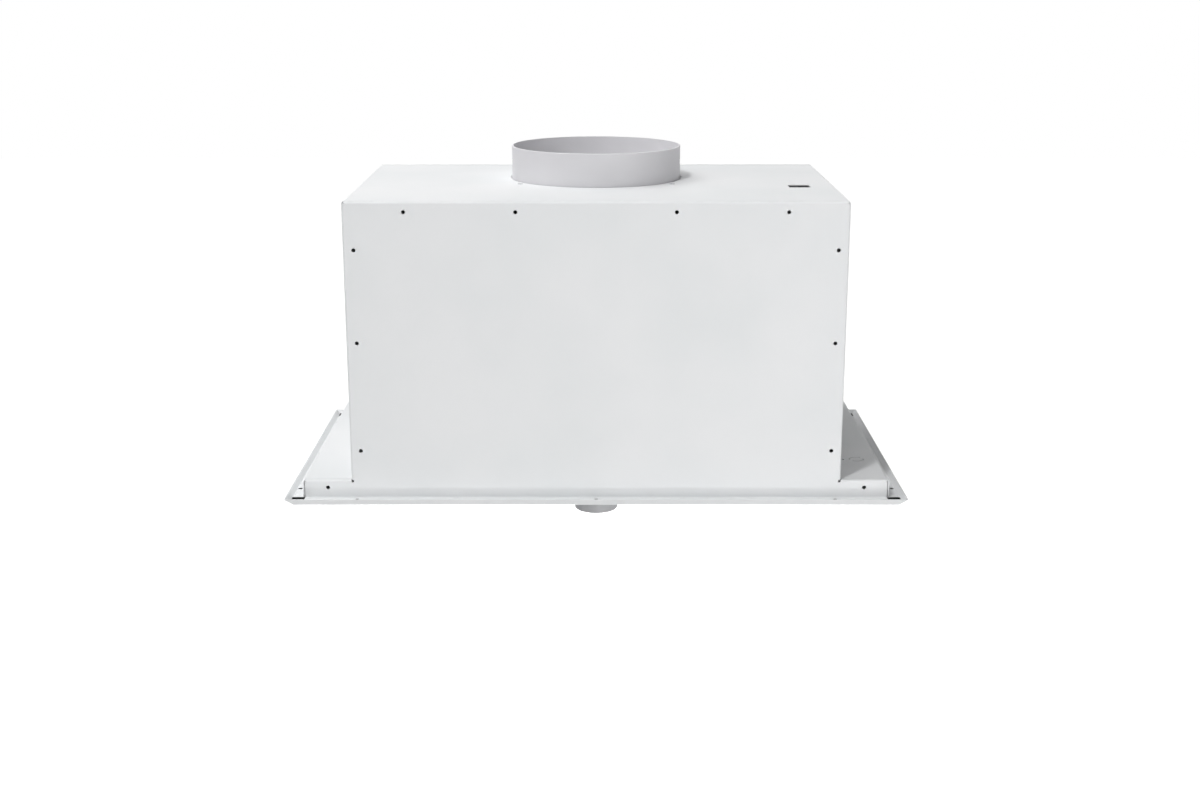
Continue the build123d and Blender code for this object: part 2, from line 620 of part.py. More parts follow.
def scroll_right():
    """Right half of the scroll, moulded: volute wall, bell-mouth inlet, joint rim and outlet flange."""
    passage = volute_face()
    outlet = OUTLET_Z - BLOWER_Z
    room = 4 * WHEEL_R
    above = block(-1, 2 * SCROLL_HALF, -room, room, outlet, outlet + room)
    wall = offset(passage, amount=SCROLL_WALL, kind=Kind.ARC)
    rim = offset(passage, amount=SCROLL_WALL + SCROLL_RIM, kind=Kind.ARC)
    shell = extrude(Plane.YZ * wall, SCROLL_FACE) + extrude(Plane.YZ * rim, SCROLL_RIM_T)
    shell += [Pos(0, y, z) * rod(EAR_R, 0, SCROLL_RIM_T, "X") for y, z in ear_spots()]
    y0, y1 = outlet_range()
    y0, y1 = y0 - BLOWER_Y - OUTLET_FLANGE, y1 - BLOWER_Y + OUTLET_FLANGE
    shell += block(0, SCROLL_HALF + OUTLET_FLANGE, y0, y1, outlet - OUTLET_FLANGE_T, outlet)
    shell -= above
    shell -= extrude(Plane.YZ * passage, SCROLL_HALF)
    bell = rod(INLET_R + BELL_W, SCROLL_HALF - BELL_IN, SCROLL_FACE + BELL_OUT, "X")
    bell -= rod(INLET_R, SCROLL_HALF - BELL_IN, SCROLL_FACE + BELL_OUT, "X")
    mouth = bell.edges().filter_by(GeomType.CIRCLE).sort_by(Axis.X)[-2:].sort_by(SortBy.RADIUS)[0]
    shell = shell - rod(INLET_R, 0, room, "X") + fillet(mouth, BELL_ROUND)
    drill = rod(SCREW_R + SCREW_FIT, -1, 2 * SCROLL_RIM_T, "X")
    holes = [Pos(0, y, z) * drill for y, z in ear_spots()]
    bush_drill = rod(SCREW_R + SCREW_FIT, SCROLL_HALF - 1, SCROLL_FACE + 1, "X")
    holes += [Pos(0, *polar(BUSH_PITCH_R, angle)) * bush_drill for angle in arm_angles()]
    flange_drill = Cylinder(SCREW_R + SCREW_FIT, 4 * OUTLET_FLANGE_T)
    holes += [Pos(x, y - BLOWER_Y, outlet) * flange_drill for x, y in adapter_screw_spots() if x > 0]
    return Pos(0, BLOWER_Y, BLOWER_Z) * (shell - holes)


def scroll_left():
    """Left half of the scroll, the mirror image of the right one."""
    return mirror(scroll_right(), Plane.YZ)


def scroll_screws():
    """Screws along the joint of the two halves."""
    screw = Pos(SCROLL_RIM_T) * Rot(Y=90) * machine_screw(3 * SCROLL_RIM_T)
    return Compound(children=[Pos(0, BLOWER_Y + y, BLOWER_Z + z) * screw for y, z in ear_spots()])


def adapter_screw_spots():
    """Where the adapter is screwed to the scroll's outlet flange, two on each side."""
    y0, y1 = outlet_range()
    inset = (y1 - y0) / 5
    x = SCROLL_HALF + OUTLET_FLANGE / 2 + SCROLL_WALL / 2
    return [(side * x, y) for side in (-1, 1) for y in (y0 + inset, y1 - inset)]


def outlet_adapter():
    """Sheet duct that leads from the scroll's rectangular outlet to the round collar."""
    y0, y1 = outlet_range()
    middle = (y0 + y1) / 2
    mouth = COLLAR_R - COLLAR_WALL - ADAPTER_TOP_IN
    top = COLLAR_BASE

    def passage(extra):
        """The duct's solid core, grown by an extra thickness."""
        width, length = 2 * SCROLL_HALF + 2 * extra, y1 - y0 + 2 * extra
        low = Pos(0, middle, OUTLET_Z) * RectangleRounded(width, length, ADAPTER_CORNER + extra)
        high = Pos(0, COLLAR_Y, top) * Circle(mouth + extra)
        return loft([low, high])

    outer_w = 2 * (SCROLL_HALF + OUTLET_FLANGE)
    outer_l = y1 - y0 + 2 * OUTLET_FLANGE
    foot = Pos(0, middle, OUTLET_Z) * RectangleRounded(outer_w, outer_l, ADAPTER_CORNER)
    rim = Pos(0, COLLAR_Y, top - ADAPTER_FLANGE_T) * Circle(RIVET_PITCH_R + ADAPTER_RIM_OUT)
    duct = passage(ADAPTER_WALL) + extrude(foot, ADAPTER_FLANGE_T) + extrude(rim, ADAPTER_FLANGE_T)
    drill = Cylinder(SCREW_R + SCREW_FIT, 4 * ADAPTER_FLANGE_T)
    holes = [Pos(x, y, OUTLET_Z) * drill for x, y in adapter_screw_spots()]
    holes += [Pos(0, 0, top) * hole for hole in rivet_holes(4 * ADAPTER_FLANGE_T)]
    return duct - passage(0) - holes


def adapter_screws():
    """Screws that hold the scroll under the adapter."""
    screw = Pos(0, 0, OUTLET_Z + ADAPTER_FLANGE_T) * machine_screw(ADAPTER_FLANGE_T + 2 * OUTLET_FLANGE_T)
    return Compound(children=[Pos(x, y) * screw for x, y in adapter_screw_spots()])


def wheel_blades(half, extra=0.0):
    """Forward-curved blades of the wheel, about its axis, thickened by an extra on all sides."""
    turn = math.degrees(extra / BLADE_MID_R)
    root, middle, tip = (
        polar(BLADE_ROOT_R - extra, turn),
        polar(BLADE_MID_R, BLADE_BOW + turn),
        polar(WHEEL_R, BLADE_LEAD + turn),
    )
    front_arc = ThreePointArc(root, middle, tip)
    back_arc = Rot(Z=-math.degrees((BLADE_T + 2 * extra) / BLADE_MID_R)) * front_arc
    outline = [front_arc, Line(front_arc @ 1, back_arc @ 1), back_arc, Line(back_arc @ 0, front_arc @ 0)]
    blade = extrude(Plane.YZ * make_face(outline), half, both=True)
    return [Rot(X=index * 360 / BLADE_COUNT) * blade for index in range(BLADE_COUNT)]


def impeller():
    """Hub disc of the double-inlet wheel, slotted at its rim for the blades."""
    disc_r = (BLADE_MID_R + WHEEL_R) / 2
    disc = rod(disc_r, -DISC_T / 2, DISC_T / 2, "X") + rod(HUB_R, -HUB_BACK, HUB_FRONT, "X")
    disc -= rod(SHAFT_R + HUB_FIT, -2 * HUB_BACK, 2 * HUB_BACK, "X")
    return Pos(0, BLOWER_Y, BLOWER_Z) * (disc - wheel_blades(DISC_T, BLADE_FIT))


def impeller_blades():
    """Steel strip blades, curved forward, that pass through the hub disc's slots."""
    half = WHEEL_HALF - END_RING_T - BLADE_FIT
    return Compound(children=[Pos(0, BLOWER_Y, BLOWER_Z) * blade for blade in wheel_blades(half)])


def impeller_rings():
    """End rings that the blades are crimped to."""
    ring = rod(WHEEL_R + END_RING_OUT, WHEEL_HALF - END_RING_T, WHEEL_HALF, "X")
    ring -= rod(WHEEL_R - END_RING_IN, WHEEL_HALF - 2 * END_RING_T, WHEEL_HALF + END_RING_T, "X")
    return Compound(children=[Pos(0, BLOWER_Y, BLOWER_Z) * side for side in both_sides(ring)])


def motor_shaft():
    """Steel shaft of the motor, pressed into the wheel's hub."""
    end = ARM_FACE + MOTOR_BOSS_H + ARM_T
    return Pos(0, BLOWER_Y, BLOWER_Z) * rod(SHAFT_R, -HUB_BACK - DISC_T, end, "X")


def motor_housing():
    """Motor can: two drawn cups on a crimped bead, with a bearing boss at each end."""
    start = ARM_FACE - MOTOR_LEN
    can = rod(MOTOR_R, start, ARM_FACE, "X")
    can = fillet(can.edges().filter_by(GeomType.CIRCLE), MOTOR_ROUND)
    bead = start + MOTOR_LEN / 2
    can += rod(MOTOR_BEAD_R, bead - MOTOR_BEAD_T / 2, bead + MOTOR_BEAD_T / 2, "X")
    can += rod(MOTOR_BOSS_R, start - MOTOR_BOSS_H, ARM_FACE + MOTOR_BOSS_H, "X")
    can -= rod(SHAFT_R + SHAFT_FIT, start - 2 * MOTOR_BOSS_H, ARM_FACE + 2 * MOTOR_BOSS_H, "X")
    return Pos(0, BLOWER_Y, BLOWER_Z) * can


def arm_angles():
    """Directions of the motor bracket's arms."""
    return [90 + index * 360 / ARM_COUNT for index in range(ARM_COUNT)]


def motor_bracket():
    """Pressed spider on the motor's end: a ring and three arms that reach past the inlet."""
    outline = Circle(ARM_RING_R)
    for angle in arm_angles():
        reach = BUSH_PITCH_R + ARM_END
        outline += Rot(Z=angle) * (Pos(reach / 2) * RectangleRounded(reach, ARM_W, ARM_W / 2 - 0.5))
    outline -= Circle(MOTOR_BOSS_R + ARM_BORE_FIT)
    outline -= [Pos(*polar(BUSH_PITCH_R, angle)) * Circle(SCREW_R + SCREW_FIT) for angle in arm_angles()]
    return Pos(ARM_FACE, BLOWER_Y, BLOWER_Z) * extrude(Plane.YZ * outline, ARM_T)


def motor_bushes():
    """Rubber bushes that keep the motor's hum out of the scroll."""
    bush = rod(BUSH_R, SCROLL_FACE, ARM_FACE, "X")
    bush -= rod(SCREW_R + SCREW_FIT, SCROLL_FACE - 1, ARM_FACE + 1, "X")
    spots = [polar(BUSH_PITCH_R, angle) for angle in arm_angles()]
    return Compound(children=[Pos(0, BLOWER_Y + y, BLOWER_Z + z) * bush for y, z in spots])


def motor_screws():
    """Screws through the arms and bushes into the scroll's side."""
    screw = Pos(ARM_FACE + ARM_T) * Rot(Y=90) * machine_screw(ARM_T + BUSH_H + SCROLL_WALL)
    spots = [polar(BUSH_PITCH_R, angle) for angle in arm_angles()]
    return Compound(children=[Pos(0, BLOWER_Y + y, BLOWER_Z + z) * screw for y, z in spots])


def terminal_box():
    """Moulded tray on the right side wall that holds the mains terminals."""
    face = Plane.YZ.offset(SIDE_INNER) * (Pos(BOX_Y, BOX_Z) * RectangleRounded(BOX_W, BOX_H, BOX_CORNER))
    inner_w, inner_h = BOX_W - 2 * BOX_WALL, BOX_H - 2 * BOX_WALL
    core_face = Pos(BOX_Y, BOX_Z) * RectangleRounded(inner_w, inner_h, BOX_CORNER - BOX_WALL)
    core = extrude(Plane.YZ.offset(SIDE_INNER - BOX_WALL) * core_face, -BOX_DEPTH)
    post_x = SIDE_INNER - BOX_DEPTH
    post = rod(SCREW_HEAD_R, post_x, SIDE_INNER - BOX_WALL, "X")
    drill = rod(SCREW_R + SCREW_FIT, post_x - 1, post_x + BOX_DEPTH / 2, "X")
    posts = [Pos(0, y, z) * post for y, z in lid_screw_spots()]
    return extrude(face, -BOX_DEPTH) - core + posts - [Pos(0, y, z) * drill for y, z in lid_screw_spots()]


def lid_screw_spots():
    """Opposite corners of the terminal box."""
    inset = BOX_WALL + SCREW_HEAD_R - 0.6
    dy, dz = BOX_W / 2 - inset, BOX_H / 2 - inset
    return [(BOX_Y - dy, BOX_Z + dz), (BOX_Y + dy, BOX_Z - dz)]


def terminal_lid():
    """Lid of the terminal box."""
    face = Pos(BOX_Y, BOX_Z) * RectangleRounded(BOX_W, BOX_H, BOX_CORNER)
    lid = extrude(Plane.YZ.offset(SIDE_INNER - BOX_DEPTH) * face, -BOX_WALL)
    edge = SIDE_INNER - BOX_DEPTH
    drill = rod(SCREW_R + SCREW_FIT, edge - 2 * BOX_WALL, edge, "X")
    return lid - [Pos(0, y, z) * drill for y, z in lid_screw_spots()]


def lid_screws():
    """Two screws that close the terminal box."""
    seat = SIDE_INNER - BOX_DEPTH - BOX_WALL
    screw = Rot(Y=-90) * machine_screw(BOX_WALL + BOX_DEPTH / 4)
    return Compound(children=[Pos(seat, y, z) * screw for y, z in lid_screw_spots()])


def terminal_block():
    """Five-way terminal block on the floor of its box."""
    back = SIDE_INNER - BOX_WALL
    y0, z0 = BOX_Y - BLOCK_W / 2, BOX_Z - BLOCK_H / 2
    body = block(back - BLOCK_DEPTH, back, y0, y0 + BLOCK_W, z0, z0 + BLOCK_H)
    pitch = BLOCK_W / BLOCK_WAYS
    wells = [
        Pos(0, y0 + (way + 0.5) * pitch, BOX_Z)
        * rod(BLOCK_WELL_R, back - BLOCK_DEPTH, back - BLOCK_DEPTH + BLOCK_WELL_DEPTH, "X")
        for way in range(BLOCK_WAYS)
    ]
    return body - wells


def capacitor():
    """Running capacitor of the motor, lying along the side wall."""
    can = rod(CAP_R, -CAP_LEN / 2, CAP_LEN / 2, "Y")
    can = fillet(can.edges().filter_by(GeomType.CIRCLE), STRAP_T)
    can += rod(CAP_TAG_R, CAP_LEN / 2, CAP_LEN / 2 + CAP_TAG_H, "Y")
    return Pos(SIDE_INNER - CAP_R, CAP_Y, CAP_Z) * can


def capacitor_strap():
    """Sheet strap over the capacitor, its feet spot-welded to the side wall."""
    reach = CAP_R + STRAP_T
    loop = Circle(reach) + Pos(CAP_R / 2) * Rectangle(CAP_R, 2 * reach)
    loop -= Circle(CAP_R) + Pos(CAP_R / 2) * Rectangle(CAP_R, 2 * CAP_R)
    loop -= Pos(1.5 * CAP_R) * Rectangle(CAP_R, 4 * CAP_R)
    foot = Rectangle(STRAP_T, STRAP_FOOT + STRAP_T)
    for side in (-1, 1):
        loop += Pos(CAP_R - STRAP_T / 2, side * (CAP_R + (STRAP_FOOT + STRAP_T) / 2)) * foot
    strap = extrude(Plane.XZ * loop, STRAP_W / 2, both=True)
    return Pos(SIDE_INNER - CAP_R, CAP_Y, CAP_Z) * strap


def control_housing():
    """Sheet cover that keeps grease off the switch, the lamps and their driver."""
    half, front = SIDE - HOUSING_SIDE, FRONT + SHEET
    back, top, wall = front + HOUSING_D, FLOOR + HOUSING_H, HOUSING_SHEET
    cover = block(-half, half, front, back, FLOOR, top)
    cover -= block(-half + wall, half - wall, front + wall, back - wall, FLOOR, top - wall)
    return cover + block(-half, half, back - wall, back + HOUSING_FOOT, FLOOR, FLOOR + wall)


def led_driver():
    """Sealed supply for the lamps."""
    y0 = KNOB_Y - DRIVER_D / 2
    x0 = SIDE - DRIVER_SIDE - DRIVER_W / 2
    body = block(x0, x0 + DRIVER_W, y0, y0 + DRIVER_D, FLOOR, FLOOR + DRIVER_H)
    return fillet(body.edges().filter_by(Axis.Z), DRIVER_ROUND)


def spindle_section(room):
    """The spindle's D shape, grown by some room."""
    flat = Pos(SPINDLE_FLAT + room + SPINDLE_R) * Rectangle(2 * SPINDLE_R, 4 * SPINDLE_R)
    return Circle(SPINDLE_R + room) - flat


def switch_body():
    """Rotary switch: a cup for the rotor, and the threaded bush that goes through the pan."""
    half = SWITCH_W / 2
    body = block(-half, half, -half, half, FLOOR, FLOOR + SWITCH_H)
    body += rod(BUSH_THREAD_R, UNDERSIDE - BUSH_DROP, FLOOR, "Z")
    body -= rod(ROTOR_R + ROTOR_FIT, FLOOR + SWITCH_BASE, FLOOR + SWITCH_H, "Z")
    body -= rod(SPINDLE_R + SPINDLE_FIT, UNDERSIDE - 2 * BUSH_DROP, FLOOR + SWITCH_H, "Z")
    return Pos(0, KNOB_Y) * body


def switch_cover():
    """Lid of the switch."""
    half, low = SWITCH_W / 2, FLOOR + SWITCH_H
    return Pos(0, KNOB_Y) * block(-half, half, -half, half, low, low + SWITCH_COVER)


def switch_nut():
    """Thin nut that clamps the switch's bush to the pan."""
    nut = extrude(Pos(0, 0, UNDERSIDE) * RegularPolygon(NUT_AF / 2, 6, major_radius=False), -NUT_H)
    return Pos(0, KNOB_Y) * (nut - rod(BUSH_THREAD_R, UNDERSIDE - 2 * NUT_H, UNDERSIDE + 1, "Z"))


def switch_rotor():
    """Contact rotor: turned by the spindle, which slides in it when the knob is pressed."""
    rotor = rod(ROTOR_R, ROTOR_Z, ROTOR_TOP, "Z")
    depth = ROTOR_TOP - ROTOR_ROOF - ROTOR_Z
    socket = Pos(0, 0, ROTOR_Z) * extrude(spindle_section(SPINDLE_FIT), depth)
    return Pos(0, KNOB_Y) * (rotor - socket)


def press_spring():
    """Cone spring over the spindle's end that pushes the knob back down."""
    low, high = SPINDLE_TOP, SPINDLE_TOP + SPRING_ROOM
    profile = Polyline(
        (SPRING_TIP_R, low),
        (SPRING_R - SPRING_T, high),
        (SPRING_R, high),
        (SPRING_TIP_R + SPRING_T, low),
        close=True,
    )
    return Pos(0, KNOB_Y) * revolve(Plane.XZ * make_face(profile), Axis.Z)


def switch_spindle():
    """D-shaped spindle from the knob, through the bush, into the rotor."""
    low = KNOB_FACE_Z + KNOB_FACE + SPINDLE_SINK
    return Pos(0, KNOB_Y, low) * extrude(spindle_section(0), SPINDLE_TOP - low)


def control_knob():
    """Moulded knob: a deep cup with a boss for the spindle and a pointer groove in its face."""
    knob = rod(KNOB_R, KNOB_FACE_Z, KNOB_RIM_Z, "Z")
    knob = fillet(knob.faces().sort_by(Axis.Z)[0].edges(), KNOB_EDGE)
    knob -= rod(KNOB_R - KNOB_WALL, KNOB_FACE_Z + KNOB_FACE, KNOB_RIM_Z, "Z")
    knob += rod(KNOB_BOSS_R, KNOB_FACE_Z + KNOB_FACE, KNOB_RIM_Z - KNOB_BOSS_DROP, "Z")
    mark_y = KNOB_EDGE - KNOB_R
    mark = block(-KNOB_MARK_W / 2, KNOB_MARK_W / 2, mark_y, mark_y + KNOB_MARK_LEN, 0, KNOB_MARK_DEPTH)
    knob -= Pos(0, 0, KNOB_FACE_Z) * mark
    bore_low = KNOB_FACE_Z + KNOB_FACE + SPINDLE_SINK
    knob -= Pos(0, 0, bore_low) * extrude(spindle_section(HUB_FIT), KNOB_BELOW)
    return Pos(0, KNOB_Y) * knob


def lamp_bezel():
    """Ring of a lamp: a lip under the pan and a sleeve through it."""
    inner = LAMP_SLEEVE_R - LAMP_WALL
    ring = rod(LAMP_R, UNDERSIDE - LAMP_LIP, UNDERSIDE, "Z")
    ring = chamfer(ring.faces().sort_by(Axis.Z)[0].edges(), LAMP_LIP / 2)
    ring += rod(LAMP_SLEEVE_R, UNDERSIDE - LAMP_LIP, UNDERSIDE + LAMP_SLEEVE_H, "Z")
    ring -= rod(inner, UNDERSIDE - 2 * LAMP_LIP, UNDERSIDE + LAMP_SLEEVE_H + 1, "Z")
    seat = rod(inner, UNDERSIDE - LAMP_LIP, UNDERSIDE - LAMP_LIP + LENS_SET, "Z")
    seat -= rod(inner - LAMP_WALL, UNDERSIDE - 2 * LAMP_LIP, UNDERSIDE, "Z")
    return Pos(SIDE - LAMP_SIDE, KNOB_Y) * (ring + seat)


def lamp_lens():
    """Frosted lens that lies on the bezel's inner rim."""
    low = UNDERSIDE - LAMP_LIP + LENS_SET
    return Pos(SIDE - LAMP_SIDE, KNOB_Y) * rod(LAMP_SLEEVE_R - LAMP_WALL - LAMP_FIT, low, low + LENS_T, "Z")


def lamp_sink():
    """Lamp body: a cast heat sink with straight fins, resting on the lens."""
    low = UNDERSIDE - LAMP_LIP + LENS_SET + LENS_T
    sink = rod(SINK_R, low, low + SINK_BASE + SINK_H, "Z")
    pitch = 2 * SINK_R / FIN_COUNT
    for slot in range(FIN_COUNT):
        x = -SINK_R + slot * pitch
        sink -= block(x, x + pitch - FIN_T, -SINK_R, SINK_R, low + SINK_BASE, low + SINK_BASE + SINK_H)
    return Pos(SIDE - LAMP_SIDE, KNOB_Y) * sink


def filter_frame():
    """Aluminium channel round the filter, with two tongues that hook over the rear edge."""
    high = UNDERSIDE + FILTER_T
    frame = extrude(Pos(0, 0, UNDERSIDE) * RectangleRounded(FILTER_W, FILTER_L, FILTER_CORNER), FILTER_T)
    core_w, core_l = FILTER_W - 2 * FRAME_SHEET, FILTER_L - 2 * FRAME_SHEET
    frame -= Pos(0, 0, (UNDERSIDE + high) / 2) * Box(core_w, core_l, FILTER_T - 2 * FRAME_SHEET)
    window_w, window_l = FILTER_W - 2 * FRAME_LEG, FILTER_L - 2 * FRAME_LEG
    frame -= Pos(0, 0, UNDERSIDE) * Box(window_w, window_l, 4 * FILTER_T)
    tongue_low = FLOOR + TONGUE_LIFT
    tongue_start = FILTER_L / 2 - FRAME_SHEET
    tongue_end = FILTER_L / 2 + FILTER_GAP + TONGUE_REACH
    half = TONGUE_W / 2
    for x in (-TONGUE_X, TONGUE_X):
        frame += block(x - half, x + half, tongue_start, tongue_end, tongue_low, tongue_low + TONGUE_T)
    return Pos(FILTER_X, FILTER_Y) * frame


def filter_fill(low, high):
    """A sheet that fills the channel between two levels, cut out for the handle."""
    width, length = FILTER_W - 2 * FRAME_SHEET - 2 * PACK_FIT, FILTER_L - 2 * FRAME_SHEET - 2 * PACK_FIT
    sheet = block(-width / 2, width / 2, -length / 2, length / 2, low, high)
    handle_w, handle_d = HANDLE_W + 2 * PACK_FIT, HANDLE_D + 2 * PACK_FIT
    return sheet - Pos(0, HANDLE_Y - FILTER_Y, low) * Box(handle_w, handle_d, 4 * FILTER_T)


def filter_grille():
    """Lower skin of the filter: a sheet pierced with a diamond pattern."""
    low = UNDERSIDE + FRAME_SHEET
    skin = filter_fill(low, low + GRILLE_T)
    side = GRILLE_PITCH / math.sqrt(2) - GRILLE_BAR
    first = GridLocations(GRILLE_PITCH, GRILLE_PITCH, GRILLE_COLS, GRILLE_ROWS)
    second = GridLocations(GRILLE_PITCH, GRILLE_PITCH, GRILLE_COLS - 1, GRILLE_ROWS - 1)
    diamond = Rot(Z=45) * Box(side, side, 4 * GRILLE_T)
    handle_low = HANDLE_Y - FILTER_Y - HANDLE_D / 2 - GRILLE_PITCH / 2
    handle_high = HANDLE_Y - FILTER_Y + HANDLE_D / 2 + GRILLE_PITCH / 2
    holes = []
    for spot in [*first, *second]:
        near_handle = handle_low < spot.position.Y < handle_high
        if not (near_handle and abs(spot.position.X) < HANDLE_W / 2 + GRILLE_PITCH / 2):
            holes.append(spot * Pos(0, 0, low) * diamond)
    return Pos(FILTER_X, FILTER_Y) * (skin - holes)


def filter_mesh():
    """Crimped aluminium mesh that fills the channel, as one corrugated sheet."""
    low, high = UNDERSIDE + FRAME_SHEET + GRILLE_T, UNDERSIDE + FILTER_T - FRAME_SHEET
    width = FILTER_W - 2 * FRAME_SHEET - 2 * PACK_FIT
    waves = round(width / MESH_PITCH)
    levels = [low if index % 2 == 0 else high - MESH_T for index in range(2 * waves + 1)]
    crests = [(index * width / (2 * waves) - width / 2, level) for index, level in enumerate(levels)]
    outline = crests + [(x, z + MESH_T) for x, z in reversed(crests)]
    sheet = extrude(Plane.XZ * make_face(Polyline(*outline, close=True)), FILTER_L, both=True)
    return Pos(FILTER_X, FILTER_Y) * (sheet & filter_fill(low, high))


def filter_handle():
    """Moulded finger recess with a grip bar, let into the filter."""
    low, high = UNDERSIDE, UNDERSIDE + FILTER_T - FRAME_SHEET
    cup = extrude(Pos(0, 0, low) * RectangleRounded(HANDLE_W, HANDLE_D, HANDLE_CORNER), high - low)
    inner_w, inner_d = HANDLE_W - 2 * HANDLE_WALL, HANDLE_D - 2 * HANDLE_WALL
    well = RectangleRounded(inner_w, inner_d, HANDLE_CORNER - HANDLE_WALL)
    cup -= extrude(Pos(0, 0, low) * well, high - low - HANDLE_WALL)
    grip_from = -HANDLE_D / 2
    grip_to = grip_from + HANDLE_GRIP
    cup += block(-inner_w / 2, inner_w / 2, grip_from + HANDLE_WALL, grip_to, low, low + HANDLE_BAR_T)
    return Pos(FILTER_X, HANDLE_Y) * cup


def filter_clips():
    """Two bent leaf springs whose shoulders hold the filter's front edge up over the pan."""
    root = FILTER_FRONT
    apex = FLOOR + CLIP_APEX
    corner_gap = CLIP_T + TONGUE_LIFT
    points = [
        (root - CLIP_T, UNDERSIDE + CLIP_TOP),
        (root - CLIP_T, UNDERSIDE + CLIP_ROOT),
        (root - CLIP_REACH, apex),
        (root - CLIP_LEG, FLOOR + corner_gap),
    ]
    leaf = offset(Polyline(*points), amount=CLIP_T, side=Side.LEFT, closed=True)
    clip = extrude(Plane.YZ * make_face(leaf), CLIP_W / 2, both=True)
    return Compound(children=[Pos(FILTER_X + x) * clip for x in (-CLIP_X, CLIP_X)])


SINGLE = [
    casing_wrap,
    front_panel,
    rear_panel,
    trim_pan,
    trim_angles,
    duct_collar,
    collar_rivets,
    flap_pin,
    outlet_adapter,
    adapter_screws,
    scroll_left,
    scroll_right,
    scroll_screws,
    impeller,
    impeller_blades,
    impeller_rings,
    motor_shaft,
    motor_housing,
    motor_bracket,
    motor_bushes,
    motor_screws,
    terminal_box,
    terminal_lid,
    lid_screws,
    terminal_block,
    capacitor,
    capacitor_strap,
    control_housing,
    led_driver,
    switch_body,
    switch_cover,
    switch_nut,
    switch_rotor,
    press_spring,
    switch_spindle,
    control_knob,
]
PAIRED = [
    lamp_bezel,
    lamp_lens,
    lamp_sink,
    filter_frame,
    filter_grille,
    filter_mesh,
    filter_handle,
    filter_clips,
]

shapes = {make.__name__: make() for make in SINGLE}
shapes["flap_rear"] = flap(0, 1)
shapes["flap_front"] = flap(1, -1)
for make in PAIRED:
    shapes[make.__name__ + "_right"], shapes[make.__name__ + "_left"] = both_sides(make())

for name, shape in shapes.items():
    export_step(shape, f"parts/{name}.step")
    print(name, len(shape.solids()), round(sum(solid.volume for solid in shape.solids())))
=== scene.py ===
import math

import bmesh
import bpy
from mathutils import Matrix, Vector


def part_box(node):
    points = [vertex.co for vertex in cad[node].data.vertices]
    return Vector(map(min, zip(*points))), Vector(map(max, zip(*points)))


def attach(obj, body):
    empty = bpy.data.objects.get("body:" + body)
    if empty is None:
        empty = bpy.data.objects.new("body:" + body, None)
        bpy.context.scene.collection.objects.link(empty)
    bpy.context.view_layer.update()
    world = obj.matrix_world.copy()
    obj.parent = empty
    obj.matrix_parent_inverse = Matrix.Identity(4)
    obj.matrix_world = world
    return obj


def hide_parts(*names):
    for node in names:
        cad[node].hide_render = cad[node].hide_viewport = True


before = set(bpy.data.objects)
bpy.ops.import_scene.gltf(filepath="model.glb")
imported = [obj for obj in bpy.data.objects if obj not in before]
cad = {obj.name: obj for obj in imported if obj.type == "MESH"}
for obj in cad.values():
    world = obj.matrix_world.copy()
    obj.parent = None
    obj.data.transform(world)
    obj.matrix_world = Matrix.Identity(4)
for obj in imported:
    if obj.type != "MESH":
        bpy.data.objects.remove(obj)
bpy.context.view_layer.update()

# The photograph's viewpoint: a long lens in front of the hood, looking slightly down on it.
# The small shift is how far the hood's middle lies from the picture's, in pixels of the picture's width.
MM = 0.001
LENS_MM, SENSOR_MM = 49.84, 36.0
CAMERA_PLACE = Vector((0, -1460.2, 433.6)) * MM
CAMERA_PITCH = math.radians(14.708)
PICTURE_PIXELS, SHIFT_PIXELS = 1200, 3.9

camera = bpy.data.objects.new("camera", bpy.data.cameras.new("camera"))
bpy.context.scene.collection.objects.link(camera)
camera.location = CAMERA_PLACE
camera.rotation_euler = (math.pi / 2 - CAMERA_PITCH, 0, 0)
camera.data.lens = LENS_MM
camera.data.sensor_width = SENSOR_MM
camera.data.shift_x = SHIFT_PIXELS / PICTURE_PIXELS
bpy.context.scene.camera = camera
bpy.context.scene.view_settings.view_transform = "Standard"

# A white studio: a pale floor well below the hood, and a white room that only fills the shadows.
# Seen directly both are white. The floor glows a little less near the hood, so that its faint shadow shows,
# and it lets a camera under it see up.
FLOOR_Z, FLOOR_HALF = -0.75, 9.0
FLOOR_HEX = "EDEDED"
GLOW_NEAR, GLOW_FAR, GLOW_REACH = 0.75, 1.0, 2.4
ROOM_HEX = "FFFFFF"
ROOM_FILL, ROOM_SEEN = 0.04, 1.0

def linear(code):
    """An sRGB hex colour as linear red, green, blue and alpha."""
    parts = [int(code[i:i + 2], 16) / 255 for i in (0, 2, 4)]
    return [p / 12.92 if p <= 0.04045 else ((p + 0.055) / 1.055) ** 2.4 for p in parts] + [1.0]

def node(tree, kind, inputs=None, **settings):
    """Adds a node. Its inputs are values, sockets, or nodes that give their first output."""
    made = tree.nodes.new(kind)
    for name, value in settings.items():
        setattr(made, name, value)
    for socket, value in (inputs or {}).items():
        if isinstance(value, bpy.types.Node):
            value = value.outputs[0]
        if isinstance(value, bpy.types.NodeSocket):
            tree.links.new(value, made.inputs[socket])
        else:
            made.inputs[socket].default_value = value
    return made

def seen_directly(tree):
    """1 on what the camera, a mirror or glass shows, and 0 on what only lights the hood."""
    path = node(tree, "ShaderNodeLightPath").outputs
    seen = path["Is Camera Ray"]
    for ray in ("Is Glossy Ray", "Is Transmission Ray"):
        seen = node(tree, "ShaderNodeMath", {0: seen, 1: path[ray]}, operation="MAXIMUM")
    return seen

